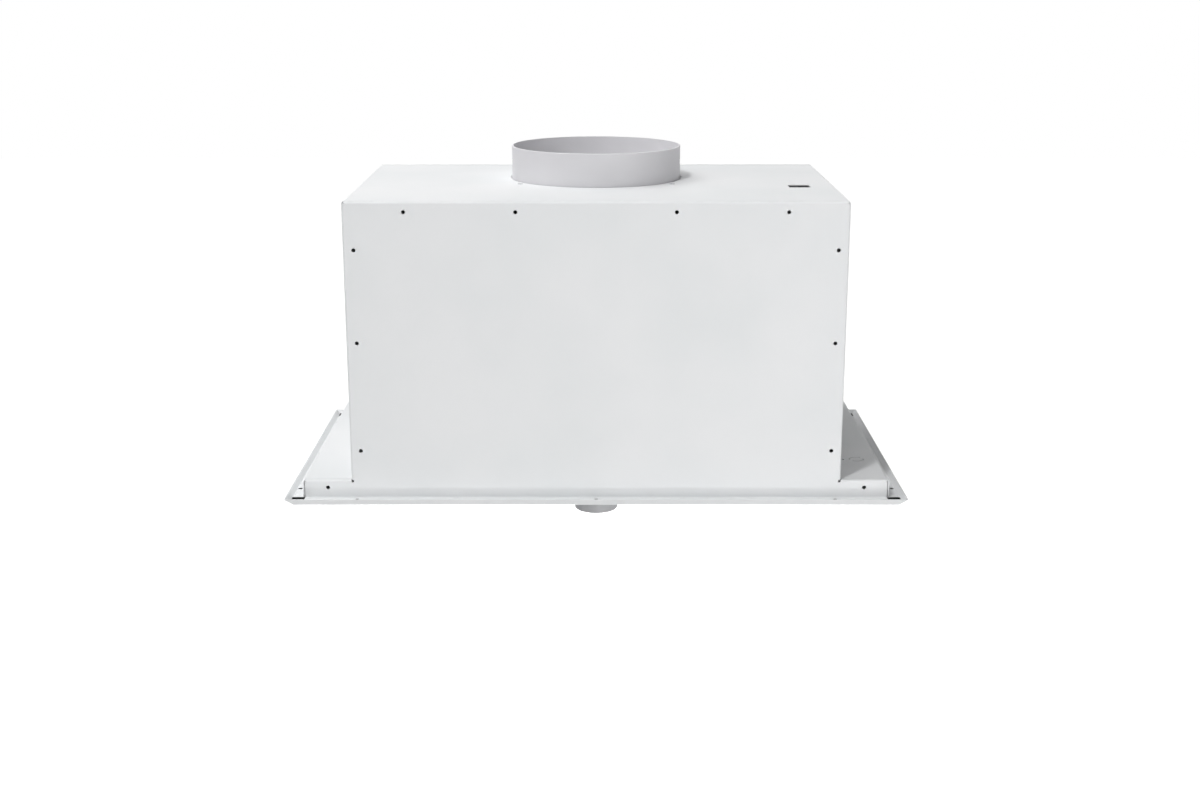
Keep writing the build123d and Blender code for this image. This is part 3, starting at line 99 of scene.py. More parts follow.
room = bpy.data.worlds.new("white_room")
room.use_nodes = True
bpy.context.scene.world = room
tree = room.node_tree
tree.nodes.clear()
levels = {"Value": seen_directly(tree), "To Min": ROOM_FILL, "To Max": ROOM_SEEN}
strength = node(tree, "ShaderNodeMapRange", levels)
walls = node(tree, "ShaderNodeBackground", {"Color": linear(ROOM_HEX), "Strength": strength})
node(tree, "ShaderNodeOutputWorld", {"Surface": walls})

floor_mesh = bpy.data.meshes.new("floor")
corners = [(x * FLOOR_HALF, y * FLOOR_HALF, FLOOR_Z) for x, y in ((-1, -1), (1, -1), (1, 1), (-1, 1))]
floor_mesh.from_pydata(corners, [], [(0, 1, 2, 3)])
floor = bpy.data.objects.new("floor", floor_mesh)
bpy.context.scene.collection.objects.link(floor)
floor_paint = bpy.data.materials.new("studio_floor_paint")
floor_paint.use_nodes = True
tree = floor_paint.node_tree
tree.nodes.clear()
place = node(tree, "ShaderNodeTexCoord").outputs["Object"]
out = node(tree, "ShaderNodeVectorMath", {0: place}, operation="LENGTH").outputs["Value"]
reach = {"Value": out, "From Min": -FLOOR_Z, "From Max": GLOW_REACH, "To Min": GLOW_NEAR, "To Max": GLOW_FAR}
glow = node(tree, "ShaderNodeMapRange", reach, interpolation_type="SMOOTHSTEP")
matt = node(tree, "ShaderNodeBsdfDiffuse", {"Color": linear(FLOOR_HEX)})
light = node(tree, "ShaderNodeEmission", {"Strength": glow})
lit = node(tree, "ShaderNodeAddShader", {0: matt, 1: light})
above = node(tree, "ShaderNodeMixShader", {"Fac": seen_directly(tree), 1: matt, 2: lit})
below = node(tree, "ShaderNodeNewGeometry").outputs["Backfacing"]
clear = node(tree, "ShaderNodeBsdfTransparent")
both = node(tree, "ShaderNodeMixShader", {"Fac": below, 1: above, 2: clear})
node(tree, "ShaderNodeOutputMaterial", {"Surface": both})
floor_mesh.materials.append(floor_paint)

# Studio lamps: a small lamp above the hood's front left corner, whose light falls to the right and back, as
# the shadows do in the photograph, and large soft boxes round it that fill the rest. Each has how far its
# light falls and turns to the right, in degrees, its distance and its size, in metres, and its watts.
LAMPS = {
    "key_lamp": (54.0, 31.0, 3.8, 0.4, 48.0),
    "front_box": (-8.0, -29.0, 2.4, 1.4, 26.0),
    "low_box": (-40.0, 4.0, 2.2, 1.6, 62.0),
    "left_box": (45.0, 80.0, 2.4, 1.4, 12.0),
    "back_box": (60.0, 130.0, 2.4, 1.4, 14.0),
    "rear_box": (-22.0, 180.0, 2.4, 1.0, 28.0),
    "top_box": (88.0, 0.0, 2.4, 1.4, 12.0),
}
LAMP_AIM = Vector((0, 0, 120)) * MM

def soft_box(name, fall, side, distance, size, watts):
    """A square lamp whose light falls by one angle, and goes to the right of straight ahead by another."""
    fall, side = math.radians(fall), math.radians(side)
    way = Vector((math.sin(side) * math.cos(fall), math.cos(side) * math.cos(fall), -math.sin(fall)))
    lamp = bpy.data.objects.new(name, bpy.data.lights.new(name, "AREA"))
    bpy.context.scene.collection.objects.link(lamp)
    lamp.location = LAMP_AIM - way * distance
    lamp.rotation_euler = way.to_track_quat("-Z", "Y").to_euler()
    lamp.data.shape = "SQUARE"
    lamp.data.size = size
    lamp.data.energy = watts

for name, values in LAMPS.items():
    soft_box(name, *values)

# Casing and trim pan: cold-rolled steel sheet, cut, folded to shape and then powder coated white.
# The cured coat is satin. It has a faint orange peel, drawn coarser than the real 1 mm to show at all,
# and it is a little thinner, so duller and greyer, in broad clouds.
COAT_THIN_HEX, COAT_HEX = "EEF0F1", "F2F3F4"
COAT_THIN_ROUGH, COAT_ROUGH, COAT_SPECULAR = 0.55, 0.49, 0.22
COAT_CLOUD_MM = 90
PEEL_MM, PEEL_DEPTH_MM, PEEL_DETAIL = 2.4, 0.012, 1.0
PATCH_LOW, PATCH_HIGH, PATCH_DETAIL = 0.35, 0.65, 2.0
MM_PER_METRE = 1000

def new_material(name):
    """A material named for the real finish, with its empty tree and the place on the object in metres."""
    material = bpy.data.materials.new(name)
    material.use_nodes = True
    tree = material.node_tree
    tree.nodes.clear()
    return material, tree, node(tree, "ShaderNodeTexCoord").outputs["Object"]

def mottle(tree, place, size_mm, low, high, detail=PATCH_DETAIL):
    """Soft patches of a real size, between two numbers or two hex colours."""
    noise = {"Vector": place, "Scale": MM_PER_METRE / size_mm, "Detail": detail}
    patch = {"Value": node(tree, "ShaderNodeTexNoise", noise), "From Min": PATCH_LOW, "From Max": PATCH_HIGH}
    if isinstance(low, str):
        share = node(tree, "ShaderNodeMapRange", patch)
        ends = {"Factor": share, 6: linear(low), 7: linear(high)}
        return node(tree, "ShaderNodeMix", ends, data_type="RGBA").outputs[2]
    return node(tree, "ShaderNodeMapRange", {**patch, "To Min": low, "To Max": high}).outputs[0]

def grained(tree, place, size_mm, depth_mm, detail=PATCH_DETAIL):
    """The surface direction over a grain of a real size and depth."""
    noise = {"Vector": place, "Scale": MM_PER_METRE / size_mm, "Detail": detail}
    grain = node(tree, "ShaderNodeTexNoise", noise)
    relief = {"Height": grain, "Distance": depth_mm * MM, "Strength": 1.0}
    return node(tree, "ShaderNodeBump", relief).outputs[0]

def finish(tree, **sockets):
    """Closes a material's tree with its shader: every input is a value or a pattern's output."""
    values = {name.replace("_", " "): value for name, value in sockets.items()}
    node(tree, "ShaderNodeOutputMaterial", {"Surface": node(tree, "ShaderNodeBsdfPrincipled", values)})

def dress(material, slot, *names):
    """Gives CAD nodes their material. The slot argument is not used."""
    for name in names:
        cad[name].data.materials.clear()
        cad[name].data.materials.append(material)

coat, tree, place = new_material("powder_coated_steel")
finish(tree, Base_Color=mottle(tree, place, COAT_CLOUD_MM, COAT_THIN_HEX, COAT_HEX),
       Roughness=mottle(tree, place, COAT_CLOUD_MM, COAT_THIN_ROUGH, COAT_ROUGH),
       Specular_IOR_Level=COAT_SPECULAR, Normal=grained(tree, place, PEEL_MM, PEEL_DEPTH_MM, PEEL_DETAIL))
dress(coat, "white_coated_steel", "casing_wrap", "front_panel", "rear_panel", "trim_pan")

# Angles that carry the trim pan: hot-dip galvanised sheet, sheared and folded and left bare, like the
# adapter, the controls' cover and the capacitor's strap. Zinc crystals show as dull and bright patches
# with torn edges, and the skin has a fine grain.
ZINC_DARK_HEX, ZINC_LIGHT_HEX = "A9ADB1", "C6CACD"
ZINC_BRIGHT_ROUGH, ZINC_DULL_ROUGH = 0.32, 0.52
SPANGLE_MM, SPANGLE_TEAR_MM = 9, 4
ZINC_GRAIN_MM, ZINC_GRAIN_DEPTH_MM = 1.4, 0.02
FINE_DETAIL = 3.0

galvanised, tree, place = new_material("galvanised_sheet")
cloud = {"Vector": place, "Scale": MM_PER_METRE / SPANGLE_MM, "Detail": PATCH_DETAIL}
tear = node(tree, "ShaderNodeTexNoise", cloud).outputs["Color"]
shift = {0: tear, 1: [SPANGLE_TEAR_MM * MM] * 3, 2: place}
torn = node(tree, "ShaderNodeVectorMath", shift, operation="MULTIPLY_ADD")
crystal = node(tree, "ShaderNodeTexVoronoi", {"Vector": torn, "Scale": MM_PER_METRE / SPANGLE_MM})
shade = node(tree, "ShaderNodeSeparateColor", {"Color": crystal.outputs["Color"]})
ends = {"Factor": shade, 6: linear(ZINC_DARK_HEX), 7: linear(ZINC_LIGHT_HEX)}
zinc = node(tree, "ShaderNodeMix", ends, data_type="RGBA").outputs[2]
skin = {"Value": shade.outputs[1], "To Min": ZINC_BRIGHT_ROUGH, "To Max": ZINC_DULL_ROUGH}
finish(tree, Base_Color=zinc, Metallic=1.0, Roughness=node(tree, "ShaderNodeMapRange", skin),
       Normal=grained(tree, place, ZINC_GRAIN_MM, ZINC_GRAIN_DEPTH_MM, FINE_DETAIL))
dress(galvanised, "galvanised_steel", "trim_angles", "outlet_adapter", "control_housing", "capacitor_strap")

# Sealing tape on the pan, under the flange strips: black closed-cell foam, slit from a roll and stuck down.
# Cut cells make it a velvety black. Flared pads at the pan's corners and domes in the strips' holes
# are painted shade: black pieces put where the corner gaps and the holes lie in shade.
SEAL_AND_SHADE_HEX, SEAL_AND_SHADE_CELL_HEX = "0E0E0F", "1B1B1C"
SEAL_ROUGH, SEAL_SPECULAR = 0.95, 0.1
SEAL_CELL_MM, SEAL_CELL_DEPTH_MM = 0.8, 0.1
SEAL_W, SEAL_IN, SEAL_T = 5.8, 7.2, 2.1
SEAL_ROUND, SEAL_ROUND_STEPS = 0.3, 2
# Painted shade: black pads that fill the pan's corner gaps, and black domes that fill the strips' holes.
SHADE_PAD_X, SHADE_PAD_Y, SHADE_PAD_T, SHADE_PAD_FLARE = 244.7, 129.7, 3.0, 2.7
SHADE_DOME_R, SHADE_DOME_T, SHADE_DOME_STEPS = 2.0, 0.9, 16
SHADE_DOME_SINK, SHADE_DOME_TAPER = 0.2, 0.2
SIDE_HOLE_X, SIDE_HOLE_STEP = 252.57, 106
LONG_HOLE_Y, LONG_HOLE_STEP = 135.47, 200.2
STRIP_HOLES = [(side * SIDE_HOLE_X, step * SIDE_HOLE_STEP) for side in (-1, 1) for step in (-1, 0, 1)]
STRIP_HOLES += [(step * LONG_HOLE_STEP, side * LONG_HOLE_Y) for step in (-1, 0, 1) for side in (-1, 1)]
PAN_SHEET = 0.8

def add_piece(name, mesh, slot, body, *stands_for):
    """Puts a finished mesh in the scene as a piece of a body, in place of CAD nodes."""
    mesh.name = name
    piece = bpy.data.objects.new(name, mesh)
    bpy.context.scene.collection.objects.link(piece)
    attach(piece, body)
    if stands_for:
        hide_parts(*stands_for)

# The foam's black also colours the painted-shade pads and domes.
foam_and_shade, tree, place = new_material("slit_closed_cell_foam_and_painted_shade")
finish(tree, Base_Color=mottle(tree, place, SEAL_CELL_MM, SEAL_AND_SHADE_HEX, SEAL_AND_SHADE_CELL_HEX), Roughness=SEAL_ROUGH,
       Specular_IOR_Level=SEAL_SPECULAR, Normal=grained(tree, place, SEAL_CELL_MM, SEAL_CELL_DEPTH_MM))
pan_low, pan_high = (Vector(corner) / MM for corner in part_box("trim_pan"))
out_x, out_y = pan_high.x - SEAL_IN, pan_high.y - SEAL_IN
base = pan_low.z + PAN_SHEET
# A run is its ends along X and along Y, its height, and how far its top leans out at a corner of the pan.
runs = []
for side in (-1, 1):
    runs.append(((-SHADE_PAD_X, SHADE_PAD_X), (side * (out_y - SEAL_W), side * out_y), SEAL_T, 0))
    runs.append(((side * (out_x - SEAL_W), side * out_x), (-SHADE_PAD_Y, SHADE_PAD_Y), SEAL_T, 0))
    # Painted shade: a raised, flared black pad in each corner gap of the pan.
    for end in (-1, 1):
        shade_pad_x, shade_pad_y = (side * SHADE_PAD_X, side * out_x), (end * SHADE_PAD_Y, end * out_y)
        runs.append((shade_pad_x, shade_pad_y, SHADE_PAD_T, SHADE_PAD_FLARE))
tape = bmesh.new()
for xs, ys, height, flare in runs:
    for vert in bmesh.ops.create_cube(tape, size=1.0)["verts"]:
        right, back, top = (step > 0 for step in vert.co)
        x = xs[right] + math.copysign(flare, xs[1]) * (right and top)
        y = ys[back] + math.copysign(flare, ys[1]) * (back and top)
        vert.co = Vector((x, y, base + height * top)) * MM
bmesh.ops.recalc_face_normals(tape, faces=tape.faces)
bmesh.ops.bevel(tape, geom=tape.edges[:], offset=SEAL_ROUND * MM, segments=SEAL_ROUND_STEPS, affect="EDGES")
# Painted shade: a black dome in each of the strips' holes, so that the holes look dark.
middle = base + SEAL_T + SHADE_DOME_T / 2 - SHADE_DOME_SINK
foot_r, top_r = SHADE_DOME_R * MM, (SHADE_DOME_R - SHADE_DOME_TAPER) * MM
for x, y in STRIP_HOLES:
    spot = Matrix.Translation(Vector((x, y, middle)) * MM)
    bmesh.ops.create_cone(tape, cap_ends=True, segments=SHADE_DOME_STEPS, radius1=foot_r, radius2=top_r,
                          depth=SHADE_DOME_T * MM, matrix=spot)
seal_and_shade_mesh = bpy.data.meshes.new("flange_seal")
tape.to_mesh(seal_and_shade_mesh)
tape.free()
seal_and_shade_mesh.materials.append(foam_and_shade)
add_piece("flange_seal", seal_and_shade_mesh, "bush_rubber", "casing")

# Duct collar and its two flaps: injection-moulded ABS in light grey. The mould's spark-eroded texture
# scatters the light, so the plastic looks even and nearly matt, with faint clouds where the melt flowed.
COLLAR_HEX, COLLAR_FLOW_HEX = "E6E5E8", "E1E0E3"
FLAP_HEX, FLAP_FLOW_HEX = "E1E1E3", "DBDBDE"
SPARK_MM, SPARK_DEPTH_MM = 0.9, 0.012
FLOW_MM = 45

def moulding(name, high, low, rough, grain_mm, depth_mm, flow_mm=FLOW_MM, **sockets):
    """Injection-moulded plastic: clouds where the melt flowed, and the grain of the mould's skin."""
    material, tree, place = new_material(name)
    finish(tree, Base_Color=mottle(tree, place, flow_mm, low, high), Roughness=rough,
           Normal=grained(tree, place, grain_mm, depth_mm), **sockets)
    return material

collar_abs = moulding("moulded_light_grey_abs", COLLAR_HEX, COLLAR_FLOW_HEX,
                      rough=0.48, grain_mm=SPARK_MM, depth_mm=SPARK_DEPTH_MM)
flap_abs = moulding("moulded_flap_abs", FLAP_HEX, FLAP_FLOW_HEX,
                    rough=0.5, grain_mm=SPARK_MM, depth_mm=SPARK_DEPTH_MM)
dress(collar_abs, "collar_plastic", "duct_collar")
dress(flap_abs, "flap_plastic", "flap_front", "flap_rear")

# Blind rivets through the top plate and the collar's flange: aluminium, painted white before they are set.
# Setting cracks the paint, so that bare metal shows in small patches.
RIVET_HEX, RIVET_BARE_HEX = "E4E4E6", "C2C3C6"
RIVET_ROUGH, RIVET_CRACK_MM = 0.42, 1.5
PAINT_GRAIN_MM, PAINT_GRAIN_DEPTH_MM = 0.6, 0.01
RIVET_SHANK_R, RIVET_HEAD_H, RIVET_STEPS = 1.5, 0.9, 24
RIVET_TAIL = [(0, -RIVET_HEAD_H), (1.8, -RIVET_HEAD_H), (2.3, -0.5), (2.3, 0), (RIVET_SHANK_R, 0)]
RIVET_DOME = [(RIVET_SHANK_R, 0), (2.5, 0), (2.5, 0.15), (2.3, 0.5), (1.8, 0.78), (1.1, RIVET_HEAD_H)]
RIVET_MANDREL = [(0.9, 0.84), (0.8, 0.3), (0.6, 0.3), (0.5, 0.6), (0, 0.65)]
PLATE_TOP = 249.0
MICRON = MM / 1000
SHARP_ANGLE = math.radians(35)

def islands(name):
    """The lowest and highest corners of each separate solid of a CAD node."""
    copy = bmesh.new()
    copy.from_mesh(cad[name].data)
    bmesh.ops.remove_doubles(copy, verts=copy.verts, dist=MICRON)
    unseen, boxes = set(copy.verts), []
    while unseen:
        found = [unseen.pop()]
        for vert in found:
            near = {edge.other_vert(vert) for edge in vert.link_edges} & unseen
            unseen -= near
            found += near
        low, high = ([pick(vert.co[axis] for vert in found) for axis in range(3)] for pick in (min, max))
        boxes.append((Vector(low), Vector(high)))
    copy.free()
    return sorted(boxes, key=lambda box: tuple(box[0]))

def turned(name, profile, steps):
    """A mesh turned about Z from a profile of radii and heights in millimetres."""
    shape = bmesh.new()
    rows = []
    for radius, height in profile:
        turns = [2 * math.pi * step / steps for step in range(steps if radius else 1)]
        spots = [Vector((radius * math.cos(turn), radius * math.sin(turn), height)) for turn in turns]
        rows.append([shape.verts.new(spot * MM) for spot in spots])
    for low, high in zip(rows, rows[1:]):
        for step in range(steps):
            after = (step + 1) % steps
            corners = ((low, step), (low, after), (high, after), (high, step))
            ring = [row[spot % len(row)] for row, spot in corners]
            shape.faces.new(list(dict.fromkeys(ring)))
    bmesh.ops.recalc_face_normals(shape, faces=shape.faces)
    mesh = bpy.data.meshes.new(name)
    shape.to_mesh(mesh)
    shape.free()
    mesh.shade_smooth()
    mesh.set_sharp_from_angle(angle=SHARP_ANGLE)
    return mesh

def set_out(name, seeds, pattern, material, size=1.0):
    """Geometry nodes that put a copy of a pattern on every seed, its Z axis along the seed's way."""
    tree = bpy.data.node_groups.new(name + "_layout", "GeometryNodeTree")
    tree.interface.new_socket("Seeds", in_out="INPUT", socket_type="NodeSocketGeometry")
    sockets = [tree.interface.new_socket(label, in_out="INPUT", socket_type="NodeSocket" + kind)
               for label, kind in (("Size", "Float"), ("Pattern", "Object"), ("Finish", "Material"))]
    tree.interface.new_socket("Pieces", in_out="OUTPUT", socket_type="NodeSocketGeometry")
    given = node(tree, "NodeGroupInput").outputs
    shape = node(tree, "GeometryNodeObjectInfo", {"Object": given["Pattern"]}, transform_space="ORIGINAL")
    way = node(tree, "GeometryNodeInputNamedAttribute", {"Name": "way"}, data_type="FLOAT_VECTOR")
    turn = node(tree, "FunctionNodeAlignRotationToVector", {"Vector": way}, axis="Z")
    spread = {"Points": given["Seeds"], "Instance": shape.outputs["Geometry"], "Rotation": turn,
              "Scale": given["Size"]}
    copies = node(tree, "GeometryNodeInstanceOnPoints", spread)
    solid = node(tree, "GeometryNodeRealizeInstances", {0: copies})
    dressed = node(tree, "GeometryNodeSetMaterial", {"Geometry": solid, "Material": given["Finish"]})
    node(tree, "NodeGroupOutput", {"Pieces": dressed})

    points = bpy.data.meshes.new(name + "_seeds")
    points.from_pydata([spot for spot, _ in seeds], [], [])
    ways = points.attributes.new("way", "FLOAT_VECTOR", "POINT")
    for item, (_, way) in zip(ways.data, seeds):
        item.vector = way
    holder = bpy.data.objects.new(name + "_seeds", points)
    source = bpy.data.objects.new(name + "_pattern", pattern)
    for item in (holder, source):
        bpy.context.scene.collection.objects.link(item)
    layout = holder.modifiers.new("layout", "NODES")
    layout.node_group = tree
    for socket, value in zip(sockets, (size, source, material)):
        layout[socket.identifier] = value
    graph = bpy.context.evaluated_depsgraph_get()
    made = bpy.data.meshes.new_from_object(holder.evaluated_get(graph), depsgraph=graph)
    bpy.data.objects.remove(holder)
    bpy.data.objects.remove(source)
    return made

painted_rivet, tree, place = new_material("painted_aluminium_rivet")
finish(tree, Base_Color=mottle(tree, place, RIVET_CRACK_MM, RIVET_BARE_HEX, RIVET_HEX, FINE_DETAIL),
       Roughness=RIVET_ROUGH, Normal=grained(tree, place, PAINT_GRAIN_MM, PAINT_GRAIN_DEPTH_MM))
rivet_boxes = islands("collar_rivets")
grip = PLATE_TOP - rivet_boxes[0][0].z / MM - RIVET_HEAD_H
rivet_profile = RIVET_TAIL + [(radius, grip + height) for radius, height in RIVET_DOME + RIVET_MANDREL]
rivet = turned("rivet_pattern", rivet_profile, RIVET_STEPS)
up = Vector((0, 0, 1))
seat = up * (PLATE_TOP - grip) * MM
seeds = [((low + high) / 2 * Vector((1, 1, 0)) + seat, up) for low, high in rivet_boxes]
rivets = set_out("blind_rivets", seeds, rivet, painted_rivet)
add_piece("blind_rivets", rivets, "rivet_white", "casing", "collar_rivets")

# Flap pin and motor shaft: bright steel bar, centreless ground. Grinding leaves fine rings round the bar,
# drawn at half a millimetre so that they show, which break up its highlight. A line's run is the share of
# its pattern's scale that is left along the line.
BAR_DARK_HEX, BAR_LIGHT_HEX = "B4B5B9", "D2D3D6"
BAR_ROUGH = 0.22, 0.34
RING_MM, RING_RUN = 0.5, 0.02

ground_bar, tree, place = new_material("ground_steel_bar")
rings = node(tree, "ShaderNodeMapping", {"Vector": place, "Scale": (1, RING_RUN, RING_RUN)})
finish(tree, Base_Color=mottle(tree, rings, RING_MM, BAR_DARK_HEX, BAR_LIGHT_HEX), Metallic=1.0,
       Roughness=mottle(tree, rings, RING_MM, *BAR_ROUGH))
dress(ground_bar, "pin_steel", "flap_pin", "motor_shaft")

# Scroll halves: glass-filled polypropylene, moulded dark grey and screwed together along their rims.
# The glass leaves a dry, slightly streaky skin.
SCROLL_HEX, SCROLL_FLOW_HEX = "3A3B3E", "2E2F32"

scroll_pp = moulding("moulded_glass_filled_pp", SCROLL_HEX, SCROLL_FLOW_HEX,
                     rough=0.55, grain_mm=1.2, depth_mm=0.02)
dress(scroll_pp, "scroll_plastic", "scroll_left", "scroll_right")

# Blower wheel: blades of galvanised strip pressed into a stamped hub disc and two end rings.
# Rolled strip keeps straight mill lines, and handling leaves duller clouds in the zinc.
WHEEL_DARK_HEX, WHEEL_LIGHT_HEX = "9DA1A5", "BFC3C7"
WHEEL_ROUGH = 0.32, 0.5
MILL_MM, MILL_RUN, HANDLING_MM = 1.1, 0.03, 14

wheel_strip, tree, place = new_material("rolled_galvanised_strip")
mill = node(tree, "ShaderNodeMapping", {"Vector": place, "Scale": (MILL_RUN, 1, 1)})
finish(tree, Base_Color=mottle(tree, mill, MILL_MM, WHEEL_DARK_HEX, WHEEL_LIGHT_HEX), Metallic=1.0,
       Roughness=mottle(tree, place, HANDLING_MM, *WHEEL_ROUGH))
dress(wheel_strip, "wheel_steel", "impeller", "impeller_blades", "impeller_rings")

# Motor can: two cups drawn from sheet, zinc plated and crimped together. Drawing leaves faint lines along
# the can, and the plating is bright with a cool cast.
CAN_DARK_HEX, CAN_LIGHT_HEX = "A2A5AB", "BDC0C6"
CAN_ROUGH = 0.28, 0.42
DRAW_MM, DRAW_RUN, DRAW_DEPTH_MM = 1.6, 0.05, 0.01

drawn_can, tree, place = new_material("drawn_zinc_plated_can")
drawn = node(tree, "ShaderNodeMapping", {"Vector": place, "Scale": (DRAW_RUN, 1, 1)})
finish(tree, Base_Color=mottle(tree, drawn, DRAW_MM, CAN_DARK_HEX, CAN_LIGHT_HEX), Metallic=1.0,
       Roughness=mottle(tree, drawn, DRAW_MM, *CAN_ROUGH),
       Normal=grained(tree, drawn, DRAW_MM, DRAW_DEPTH_MM))
dress(drawn_can, "motor_can", "motor_housing")

# Motor bracket: a spider stamped from steel plate, tumbled and zinc plated, that carries the motor on
# rubber bushes. Tumbling leaves it evenly matt with a few brighter scuffs.
BRACKET_SCUFF_HEX, BRACKET_HEX = "9A9DA2", "B3B6BA"
BRACKET_ROUGH = 0.5, 0.36
SCUFF_MM, SCUFF_DETAIL = 6, 4.0

tumbled, tree, place = new_material("tumbled_zinc_plate")
finish(tree, Base_Color=mottle(tree, place, SCUFF_MM, BRACKET_SCUFF_HEX, BRACKET_HEX, SCUFF_DETAIL),
       Metallic=1.0, Roughness=mottle(tree, place, SCUFF_MM, *BRACKET_ROUGH, SCUFF_DETAIL))
dress(tumbled, "bracket_steel", "motor_bracket")

# Motor bushes between the bracket's arms and the scroll: soft black rubber, compression moulded.
# The bloom on the rubber makes it a dusty black.
BUSH_HEX, BUSH_BLOOM_HEX = "1C1C1D", "2C2C2E"

rubber = moulding("compression_moulded_rubber", BUSH_BLOOM_HEX, BUSH_HEX,
                  rough=0.8, grain_mm=0.6, depth_mm=0.02, flow_mm=5, Specular_IOR_Level=0.3)
dress(rubber, "bush_rubber", "motor_bushes")

# Screws of the scroll, motor, adapter and terminal box: steel pan heads with a cross recess, cold headed,
# thread rolled and bright zinc plated. The plating is smooth, with a slightly milky cast in places.
SCREW_DARK_HEX, SCREW_LIGHT_HEX = "B5B8BD", "D3D6DA"
SCREW_ROUGH = 0.2, 0.32
MILKY_MM, GLOSS_MM = 3, 2
SCREW_STEPS = 20
SHANK_R, THREAD_PITCH, FEWEST_THREADS, PLAIN_LENGTH = 2.0, 0.8, 2, 1
POINT_R, POINT_H, ROOT_R, THREAD_END = SHANK_R * 0.6, 0.5, SHANK_R * 0.82, 0.2
HEAD_R, HEAD_H = 3.6, 2.2
HEAD_OUTLINE = [(HEAD_R, 0), (HEAD_R, 0.6), (HEAD_R * 0.93, 1.4), (HEAD_R * 0.72, 2.0),
                (HEAD_R * 0.45, HEAD_H), (0, HEAD_H)]
CROSS_R, CROSS_DEPTH, CROSS_W = 1.9, 1.3, 0.75
SCREW_WAYS = {"adapter": (0, 0, 1), "scroll": (1, 0, 0), "motor": (1, 0, 0), "lid": (-1, 0, 0)}

def cross_cutter():
    """Two crossed blades, narrower at the bottom, that leave the recess in a screw's head."""
    shape = bmesh.new()
    for turn in (0, math.pi / 2):
        for vert in bmesh.ops.create_cube(shape, size=2.0)["verts"]:
            top = vert.co.z > 0
            reach = CROSS_R if top else CROSS_R / 2
            level = HEAD_H + (CROSS_DEPTH if top else -CROSS_DEPTH)
            spot = Vector((vert.co.x * reach, vert.co.y * CROSS_W / 2, level))
            vert.co = (Matrix.Rotation(turn, 3, "Z") @ spot) * MM
    mesh = bpy.data.meshes.new("cross_cutter")
    shape.to_mesh(mesh)
    shape.free()
    return mesh

def screw_pattern(length):
    """A pan-head screw that points down, its head's seat at the origin."""
    profile = [(0, -length), (POINT_R, -length)]
    for turn in range(max(FEWEST_THREADS, round((length - PLAIN_LENGTH) / THREAD_PITCH))):
        low = -length + POINT_H + turn * THREAD_PITCH
        profile += [(ROOT_R, low), (SHANK_R, low + THREAD_PITCH / 2)]
    profile += [(ROOT_R, -THREAD_END), (SHANK_R, 0)] + HEAD_OUTLINE
    body = bpy.data.objects.new("screw_body", turned("screw_body", profile, SCREW_STEPS))
    cutter = bpy.data.objects.new("cross_cutter", cross_cutter())
    for item in (body, cutter):
        bpy.context.scene.collection.objects.link(item)
    recess = body.modifiers.new("recess", "BOOLEAN")
    recess.operation = "DIFFERENCE"
    recess.use_self = True
    recess.object = cutter
    graph = bpy.context.evaluated_depsgraph_get()
    mesh = bpy.data.meshes.new_from_object(body.evaluated_get(graph), depsgraph=graph)
    bpy.data.objects.remove(body)
    bpy.data.objects.remove(cutter)
    mesh.materials.clear()
    mesh.shade_smooth()
    mesh.set_sharp_from_angle(angle=SHARP_ANGLE)
    return mesh

zinc_screw, tree, place = new_material("bright_zinc_plated_screw")
finish(tree, Base_Color=mottle(tree, place, MILKY_MM, SCREW_DARK_HEX, SCREW_LIGHT_HEX, FINE_DETAIL),
       Metallic=1.0, Roughness=mottle(tree, place, GLOSS_MM, *SCREW_ROUGH))
for group, way in SCREW_WAYS.items():
    way = Vector(way)
    boxes = islands(group + "_screws")
    axis = max(range(3), key=lambda i: abs(way[i]))
    length = (boxes[0][1][axis] - boxes[0][0][axis]) / MM - HEAD_H
    seeds = []
    for low, high in boxes:
        seat = (low + high) / 2
        seat[axis] = high[axis] - HEAD_H * MM if way[axis] > 0 else low[axis] + HEAD_H * MM
        seeds.append((seat, way))
    screws = set_out(group + "_pan_heads", seeds, screw_pattern(length), zinc_screw)
    add_piece(group + "_pan_heads", screws, "screw_zinc", "casing", group + "_screws")

# Terminal box with its lid, fixed inside the right side wall: flame-retardant ABS, moulded mid grey.
# Its coarse moulded texture hides scratches and keeps it dull.
BOX_HEX, BOX_FLOW_HEX = "5C5F63", "505357"

box_abs = moulding("moulded_mid_grey_abs", BOX_HEX, BOX_FLOW_HEX, rough=0.52, grain_mm=1.1, depth_mm=0.03)
dress(box_abs, "box_plastic", "terminal_box", "terminal_lid")

# Terminal block on the floor of its box: natural polyamide, moulded round its brass ways.
# Bare polyamide is milky and a little glossy.
BLOCK_HEX, BLOCK_FLOW_HEX = "E2E1DA", "D6D5CC"

polyamide = moulding("moulded_natural_polyamide", BLOCK_HEX, BLOCK_FLOW_HEX,
                     rough=0.34, grain_mm=2.0, depth_mm=0.01, flow_mm=12, Subsurface_Weight=0.1)
dress(polyamide, "block_plastic", "terminal_block")

# Run capacitor and lamp driver: off-white cases, one moulded in polypropylene and held by its strap, and
# one in polycarbonate that lies on the pan. Polypropylene is waxy, and the driver has a fine texture.
CAPACITOR_HEX, CAPACITOR_FLOW_HEX = "DFE0E0", "D3D4D5"
DRIVER_HEX, DRIVER_FLOW_HEX = "DEDFE0", "D0D2D4"

capacitor_pp = moulding("moulded_polypropylene", CAPACITOR_HEX, CAPACITOR_FLOW_HEX,
                        rough=0.42, grain_mm=2.6, depth_mm=0.01)
driver_pc = moulding("moulded_polycarbonate", DRIVER_HEX, DRIVER_FLOW_HEX,
                     rough=0.46, grain_mm=1.0, depth_mm=0.02)
dress(capacitor_pp, "capacitor_can", "capacitor")
dress(driver_pc, "driver_plastic", "led_driver")

